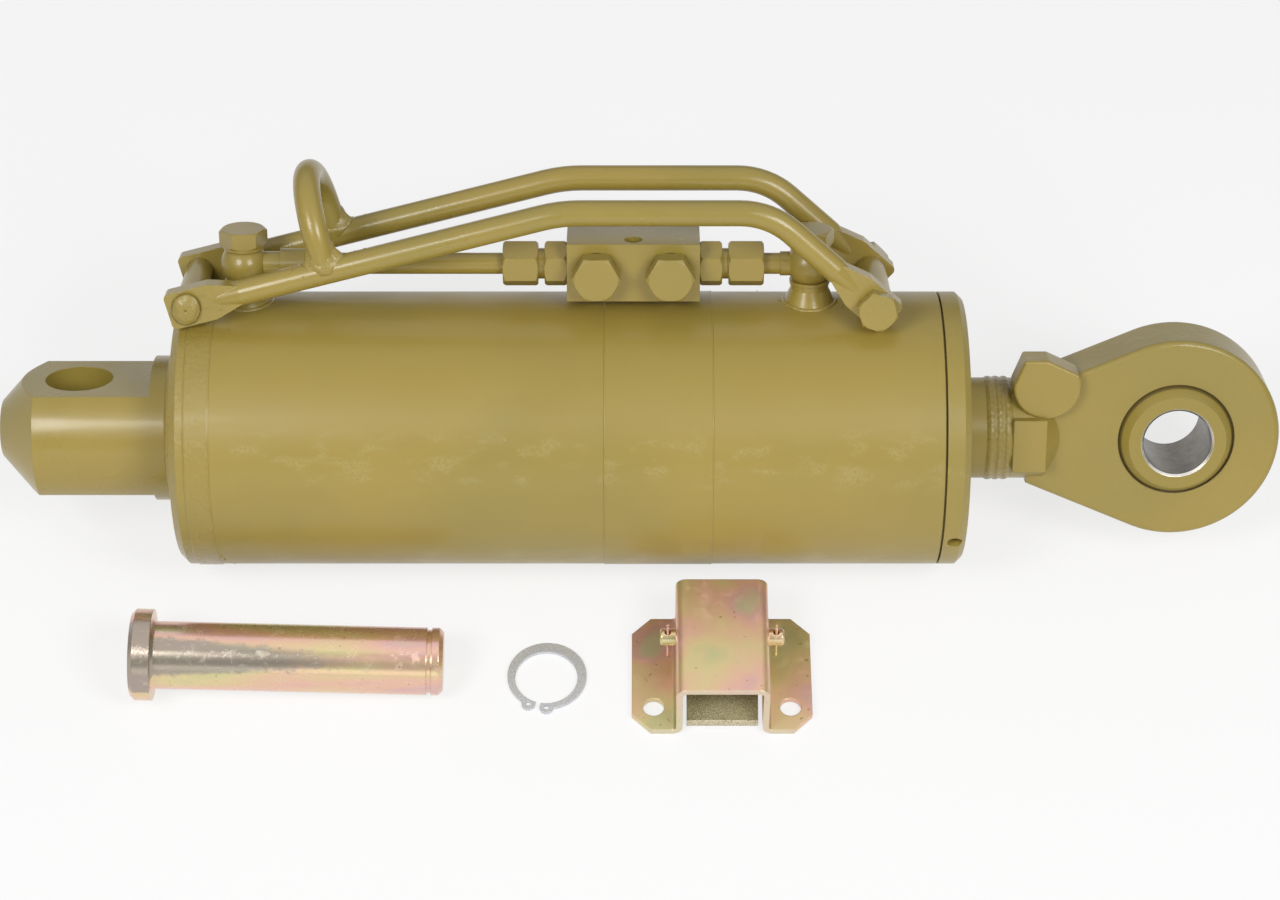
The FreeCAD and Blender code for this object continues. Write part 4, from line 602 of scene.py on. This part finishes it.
def bead(name, points, body, width, ripple, swell, uneven, seed, material=bead_enamel):
    count = len(points)
    edges = [(i, (i + 1) % count) for i in range(count)]
    mesh = bpy.data.meshes.new(name)
    mesh.from_pydata(points, edges, [])
    piece = bpy.data.objects.new(name, mesh)
    LINK(piece)
    with_tree(piece, bead_tree, {"Width": width, "Ripple": ripple, "Swell": swell,
                                 "Uneven": uneven, "Seed": seed, "Material": material})
    settled(piece, body)
    print(name, len(piece.data.polygons), "faces")
    return piece


def ring_points(x, radius, count=120):
    """A ring round the link's long axis."""
    turns = [2 * math.pi * i / count for i in range(count)]
    return [to_floor(x, radius * math.cos(t), radius * math.sin(t)) for t in turns]


# %% [markdown]
# The eye is welded to the rod in passes laid side by side and dressed almost flat, the tractor
# end's round bar sits in a fat fillet against the base cap, and each oil port's boss has a thin
# toe where its round foot meets the round barrel. That last path is a saddle: a circle seen
# from above, dropped onto the barrel.

# %% Welds on the barrel and the eye
eye_low, eye_high = link_box("eye_weld_ring")
eye_weld = eye_high.z
for i, share in enumerate((0.18, 0.5, 0.82)):
    x = eye_low.x + (eye_high.x - eye_low.x) * share
    bead(f"eye_weld_pass_{i + 1}", ring_points(x, eye_weld - 0.0021), "rod", 0.0025,
         ripple=0.0031, swell=0.10, uneven=0.16, seed=3.0 + i)

_, end_high = link_box("tractor_end_weld")
bar = link_box("tractor_end_block")[1].y
bead("tractor_end_bead", ring_points(end_high.x - 0.0026, bar + 0.0006), "barrel", 0.0029,
     ripple=0.0042, swell=0.05, uneven=0.10, seed=7.0)


def saddle(middle, radius, sink, count=90):
    """A circle seen from above the valve, dropped onto the barrel and sunk a little."""
    points = []
    for i in range(count):
        t = 2 * math.pi * i / count
        y = radius * math.sin(t)
        height = math.sqrt(BARREL ** 2 - y * y) - sink
        points.append(to_floor(middle + radius * math.cos(t), y, height))
    return points


for end in ("base", "rod"):
    low, high = link_box(f"port_boss_{end}")
    bead(f"port_boss_bead_{end}",
         saddle((low.x + high.x) / 2, (high.x - low.x) / 2 + 0.0002, 0.0007), "barrel", 0.0013,
         ripple=0.0040, swell=0.10, uneven=0.2, seed=11.0)

# %% Rounded edges of the barrel's raised band
BAND_START, BAND_WIDTH, BAND_ROUND = 0.182, 0.050, 0.0005
band_low = tube_low.x + BAND_START
for i, x in enumerate((band_low, band_low + BAND_WIDTH)):
    bead(f"band_edge_{i + 1}", ring_points(x, BARREL - 0.7 * BAND_ROUND, 180), "barrel", BAND_ROUND,
         ripple=0.0060, swell=0.0, uneven=0.0, material=barrel_enamel, seed=1.0)

# %% [markdown]
# The guard is rod, bent cold and welded. The hose loop stands on the two rods in thick, smooth
# fillets, and the cross bar's ends are melted into the flattened lugs. Both are skins of weld
# metal between two outlines, so one function makes them: rows of points from the upper outline
# to the lower, a last row hidden inside the steel to close the skin, and a little noise.


# %% Skins of weld metal
def weld_skin(name, rows, hidden, body, rough, grain, seed):
    """A closed skin through rows of ring points; hidden is the row inside the metal."""
    count = len(rows[0])
    work = bmesh.new()
    rings = [[work.verts.new(point) for point in row] for row in rows + [hidden]]
    for first, second in zip(rings, rings[1:] + rings[:1]):
        for i in range(count):
            j = (i + 1) % count
            work.faces.new((first[i], first[j], second[j], second[i]))
    bmesh.ops.recalc_face_normals(work, faces=work.faces)
    work.normal_update()
    offset = Vector((seed, seed, seed))
    for ring in rings[1:-1]:
        for vertex in ring:
            vertex.co += vertex.normal * rough * noise.noise(vertex.co * grain + offset)
    for face in work.faces:
        face.smooth = True
    mesh = bpy.data.meshes.new(name)
    work.to_mesh(mesh)
    work.free()
    mesh.materials.append(bead_enamel)
    piece = bpy.data.objects.new(name, mesh)
    LINK(piece)
    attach(piece, body)
    print(name, len(mesh.polygons), "faces")
    return piece


# %% Feet of the hose loop
bar_low, bar_high = link_box("guard_cross_bar")
ROD, LEG = 0.006, 0.00625
RISE_RUN, RISE_CLIMB, FOOT_ALONG = 0.173, 0.1164 - 0.0715, 0.067
bar_x, bar_z = (bar_low.x + bar_high.x) / 2, bar_high.z - LEG
rise = Vector((RISE_RUN, 0, RISE_CLIMB)).normalized()
square = Vector((-rise.z, 0, rise.x))
foot = Vector((bar_x, 0, bar_z)) + rise * FOOT_ALONG
_, loop_high = link_box("guard_hose_loop")
half_spread = loop_high.y - LEG
COLUMNS, ROWS = 56, 9
FLARE, CLIMB, SIDE_DROP = 0.0055, 0.0080, 0.0030
SKIN, SUNK = 0.0007, 0.0003


def foot_point(side, turn, share):
    """On the fillet of a loop's foot: share runs from 0 on the leg to 1 on the rod."""
    skin = SKIN * math.sin(math.pi * (0.08 + 0.92 * share)) - SUNK
    flare = FLARE * share ** 2.4
    along = (LEG + skin + flare) * math.cos(turn)
    across = (LEG + skin) * math.sin(turn)
    on_rod = math.sqrt(max((ROD + skin) ** 2 - min(abs(across), ROD) ** 2, 0.0))
    height = on_rod + (CLIMB - SIDE_DROP * abs(math.sin(turn))) * (1 - share) ** 1.7
    at = foot + rise * along + square * height
    return to_floor(at.x, side * half_spread + across, at.z)


for side, label in ((-1, "front"), (1, "back")):
    turns = [2 * math.pi * i / COLUMNS for i in range(COLUMNS)]
    rows = [[foot_point(side, turn, row / (ROWS - 1)) for turn in turns] for row in range(ROWS)]
    heart = to_floor(foot.x + square.x * ROD, side * half_spread, foot.z + square.z * ROD)
    hidden = [heart.lerp(point, 0.62) for point in rows[ROWS // 2]]
    weld_skin(f"loop_foot_{label}", rows, hidden, "barrel", 0.0008, 260, 23.0 + side)

# %% Melted ends of the cross bar
lug_low, _ = link_box("guard_rod_front")
lug_face = -lug_low.y
MELT, DOME, MELT_SUNK = 0.0072, 0.0019, 0.0005
MELT_COLUMNS = 44
for side, label in ((-1, "front"), (1, "back")):
    rows = []
    for share in (0.06, 0.22, 0.38, 0.52, 0.65, 0.76, 0.86, 0.94, 1.0):
        dome = (DOME + MELT_SUNK) * (1 - share ** 2.4) - MELT_SUNK
        ring = []
        for i in range(MELT_COLUMNS):
            turn = 2 * math.pi * i / MELT_COLUMNS
            radius = MELT * share * (1 + 0.06 * math.sin(2 * turn + side))
            ring.append(to_floor(bar_x + radius * math.cos(turn), side * (lug_face + dome),
                                 bar_z + radius * math.sin(turn)))
        rows.append(ring)
    hidden = [to_floor(bar_x, side * (lug_face - 0.001), bar_z).lerp(point, 0.3)
              for point in rows[0]]
    weld_skin(f"cross_bar_melt_{label}", rows, hidden, "barrel", 0.0007, 240, 31.0 + side)

# %% [markdown]
# Spatter is what welding throws: beads of steel, a fraction of a millimetre across, that stick
# near the seam and are painted over. Nobody places them one by one. Loose points are scattered
# on the surfaces by rule, and Geometry Nodes set a small sphere of a random size on each.

# %% Spatter tree
spatter_tree = new_tree("spatter", [("Smallest", "Float"), ("Largest", "Float"),
                                    ("Seed", "Int"), ("Material", "Material")])
given = spatter_tree.nodes.new("NodeGroupInput").outputs
drop = geo(spatter_tree, "GeometryNodeMeshIcoSphere", Radius=1.0, Subdivisions=2)
size = geo(spatter_tree, "FunctionNodeRandomValue", {"Seed": given["Seed"]}, data_type="FLOAT")
spatter_tree.links.new(given["Smallest"], size.inputs[2])
spatter_tree.links.new(given["Largest"], size.inputs[3])
spread = geo(spatter_tree, "GeometryNodeInstanceOnPoints",
             {"Points": given["Geometry"], "Instance": drop.outputs["Mesh"],
              "Scale": size.outputs[1]})
close_tree(spatter_tree, spread.outputs[0], given["Material"])


# %% Scatter it near the welds
FOOT_DROPS, BAR_DROPS = 16, 7
WELD_END, ALL_ROUND = 0.0525, 0.07
SEAMS = ((0.0625, 0.007, 26), (0.081, 0.011, 10), (0.346, 0.012, 10))  # place, spread, drops


def near(rng, middle, spread):
    return float(np.clip(rng.normal(middle, spread), middle - 2 * spread, middle + 2 * spread))


rng = np.random.default_rng(64)
drops = []
for side in (-1, 1):
    for i in range(FOOT_DROPS):
        along = near(rng, 0, 0.011)
        turn = math.radians(near(rng, 80, 34))
        at = foot + rise * along + square * (ROD * math.sin(turn))
        drops.append(to_floor(at.x, side * (half_spread + ROD * math.cos(turn)), at.z))
    for i in range(BAR_DROPS):
        drops.append(to_floor(bar_x + near(rng, 0.004, 0.006), side * lug_face,
                              bar_z + near(rng, 0, 0.004)))
for middle, spread, count in SEAMS:
    for i in range(count):
        turn = math.radians(rng.uniform(0, 360) if middle < ALL_ROUND else near(rng, 90, 9))
        x = max(near(rng, middle, spread), WELD_END)
        drops.append(to_floor(x, BARREL * math.cos(turn), BARREL * math.sin(turn)))
mesh = bpy.data.meshes.new("weld_spatter")
mesh.from_pydata(drops, [], [])
spatter = bpy.data.objects.new("weld_spatter", mesh)
LINK(spatter)
with_tree(spatter, spatter_tree, {"Smallest": 0.00022, "Largest": 0.0006, "Seed": 5,
                                  "Material": bead_enamel})
settled(spatter, "barrel")
print("drops:", len(drops), "faces:", len(spatter.data.polygons))

# %% [markdown]
# The room is a sheet of pale card. Cameras and mirrors should find it nearly white without more
# lamps, so a share of it glows for camera and glossy rays alone, and the rest keeps the
# shadows. The world is a white tent, darker low down and where the camera stands.

# %% Floor
FLOOR_GLOW = 0.74
floor_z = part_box("barrel_tube")[0].z - 0.0004
card = bpy.data.meshes.new("floor")
half = 6.0
card.from_pydata([(-half, -half, floor_z), (half, -half, floor_z), (half, half, floor_z),
                  (-half, half, floor_z)], [], [(0, 1, 2, 3)])
floor = bpy.data.objects.new("floor", card)
LINK(floor)
pale = Finish("pale_card", (0.88, 0.88, 0.88, 1), 0.0, 0.9)
seen = pale.add("LightPath").outputs
glow = pale.add("Emission", Color=(1, 1, 1, 1), Strength=1.0)
share = pale.sum("MULTIPLY", pale.sum("MAXIMUM", seen["Is Camera Ray"], seen["Is Glossy Ray"]),
                 FLOOR_GLOW)
both = pale.add("MixShader", {0: share, 1: pale.shader.outputs[0], 2: glow.outputs[0]})
pale.tree.links.new(both.outputs[0], pale.tree.nodes["Material Output"].inputs["Surface"])
floor.data.materials.append(pale.material)
floor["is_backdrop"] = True

# %% World
BACKDROP, ROOM_LIGHT = 0.97, 0.30
scene = bpy.context.scene
scene.view_settings.view_transform = "Standard"
world = bpy.data.worlds.new("studio")
scene.world = world
world.use_nodes = True
sky = world.node_tree
sky_light = sky.nodes["Background"]


def sky_node(kind, wires, **settings):
    return geo(sky, "ShaderNode" + kind, wires, **settings)


def sky_step(value, *limits):
    """A soft step: from low, high, and the levels below and above."""
    made = sky_node("MapRange", {"Value": value}, interpolation_type="SMOOTHSTEP")
    for socket, limit in zip(("From Min", "From Max", "To Min", "To Max"), limits):
        made.inputs[socket].default_value = limit
    return made.outputs[0]


way = sky.nodes.new("ShaderNodeTexCoord").outputs["Generated"]
toward = sky_node("VectorMath", {0: way}, operation="DOT_PRODUCT")
toward.inputs[1].default_value = FRONT_UP
height = sky_node("SeparateXYZ", {"Vector": way}).outputs[2]
tent = calc(sky, "MULTIPLY", sky_step(height, 0.15, 0.70, 0.25, 1.0),
            sky_step(toward.outputs["Value"], 0.84, 0.97, 1.0, 0.35))
seen = sky.nodes.new("ShaderNodeLightPath").outputs
view = calc(sky, "MULTIPLY", seen["Is Camera Ray"], BACKDROP)
level = calc(sky, "MAXIMUM", view, calc(sky, "MULTIPLY", seen["Is Glossy Ray"], tent))
plain = calc(sky, "SUBTRACT", 1.0, calc(sky, "MAXIMUM", seen["Is Camera Ray"],
                                        seen["Is Glossy Ray"]))
level = calc(sky, "ADD", level, calc(sky, "MULTIPLY", plain, ROOM_LIGHT))
sky.links.new(level, sky_light.inputs["Strength"])
sky_light.inputs["Color"].default_value = (1, 1, 1, 1)


# %% Lamps
def softbox(name, place, target, width, depth, power):
    """A rectangular lamp that faces its target; sizes in metres, power in watts."""
    lamp = bpy.data.lights.new(name, "AREA")
    lamp.shape, lamp.size, lamp.size_y, lamp.energy = "RECTANGLE", width, depth, power
    box = bpy.data.objects.new(name, lamp)
    LINK(box)
    box.location = place
    box.rotation_euler = (Vector(target) - Vector(place)).to_track_quat("-Z", "Y").to_euler()
    return box


centre = (0.266, 0.0, 0.0)
for name, side in (("left_softbox", -1), ("right_softbox", 1)):
    softbox(name, (centre[0] + side * 0.67, -0.75, 1.11), centre, 0.5, 0.5, 9.5)
softbox("low_softbox", (0.30, -1.60, 0.25), centre, 1.6, 0.5, 2.5)

# %% [markdown]
# The camera looks down at the link from its front with a long lens, so that the barrel's
# edges stay nearly parallel.

# %% Camera
TILT = math.radians(51.3)
REACH = 1.625
look = Vector((0, math.cos(TILT), -math.sin(TILT)))
up = Vector((0, math.sin(TILT), math.cos(TILT)))
eye = Vector((0.2664, 0, 0)) - look * REACH - up * 0.01075
camera = bpy.data.cameras.new("camera")
camera.sensor_width = 36.0
camera.lens = 95.6
camera.clip_start, camera.clip_end = 0.05, 20
viewer = bpy.data.objects.new("camera", camera)
LINK(viewer)
viewer.location = eye
viewer.rotation_mode = "QUATERNION"
viewer.rotation_quaternion = look.to_track_quat("-Z", "Y")
scene.camera = viewer

# %% [markdown]
# Last, the dressed link's box is measured.

# %% Measure the dressed link's box
low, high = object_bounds()
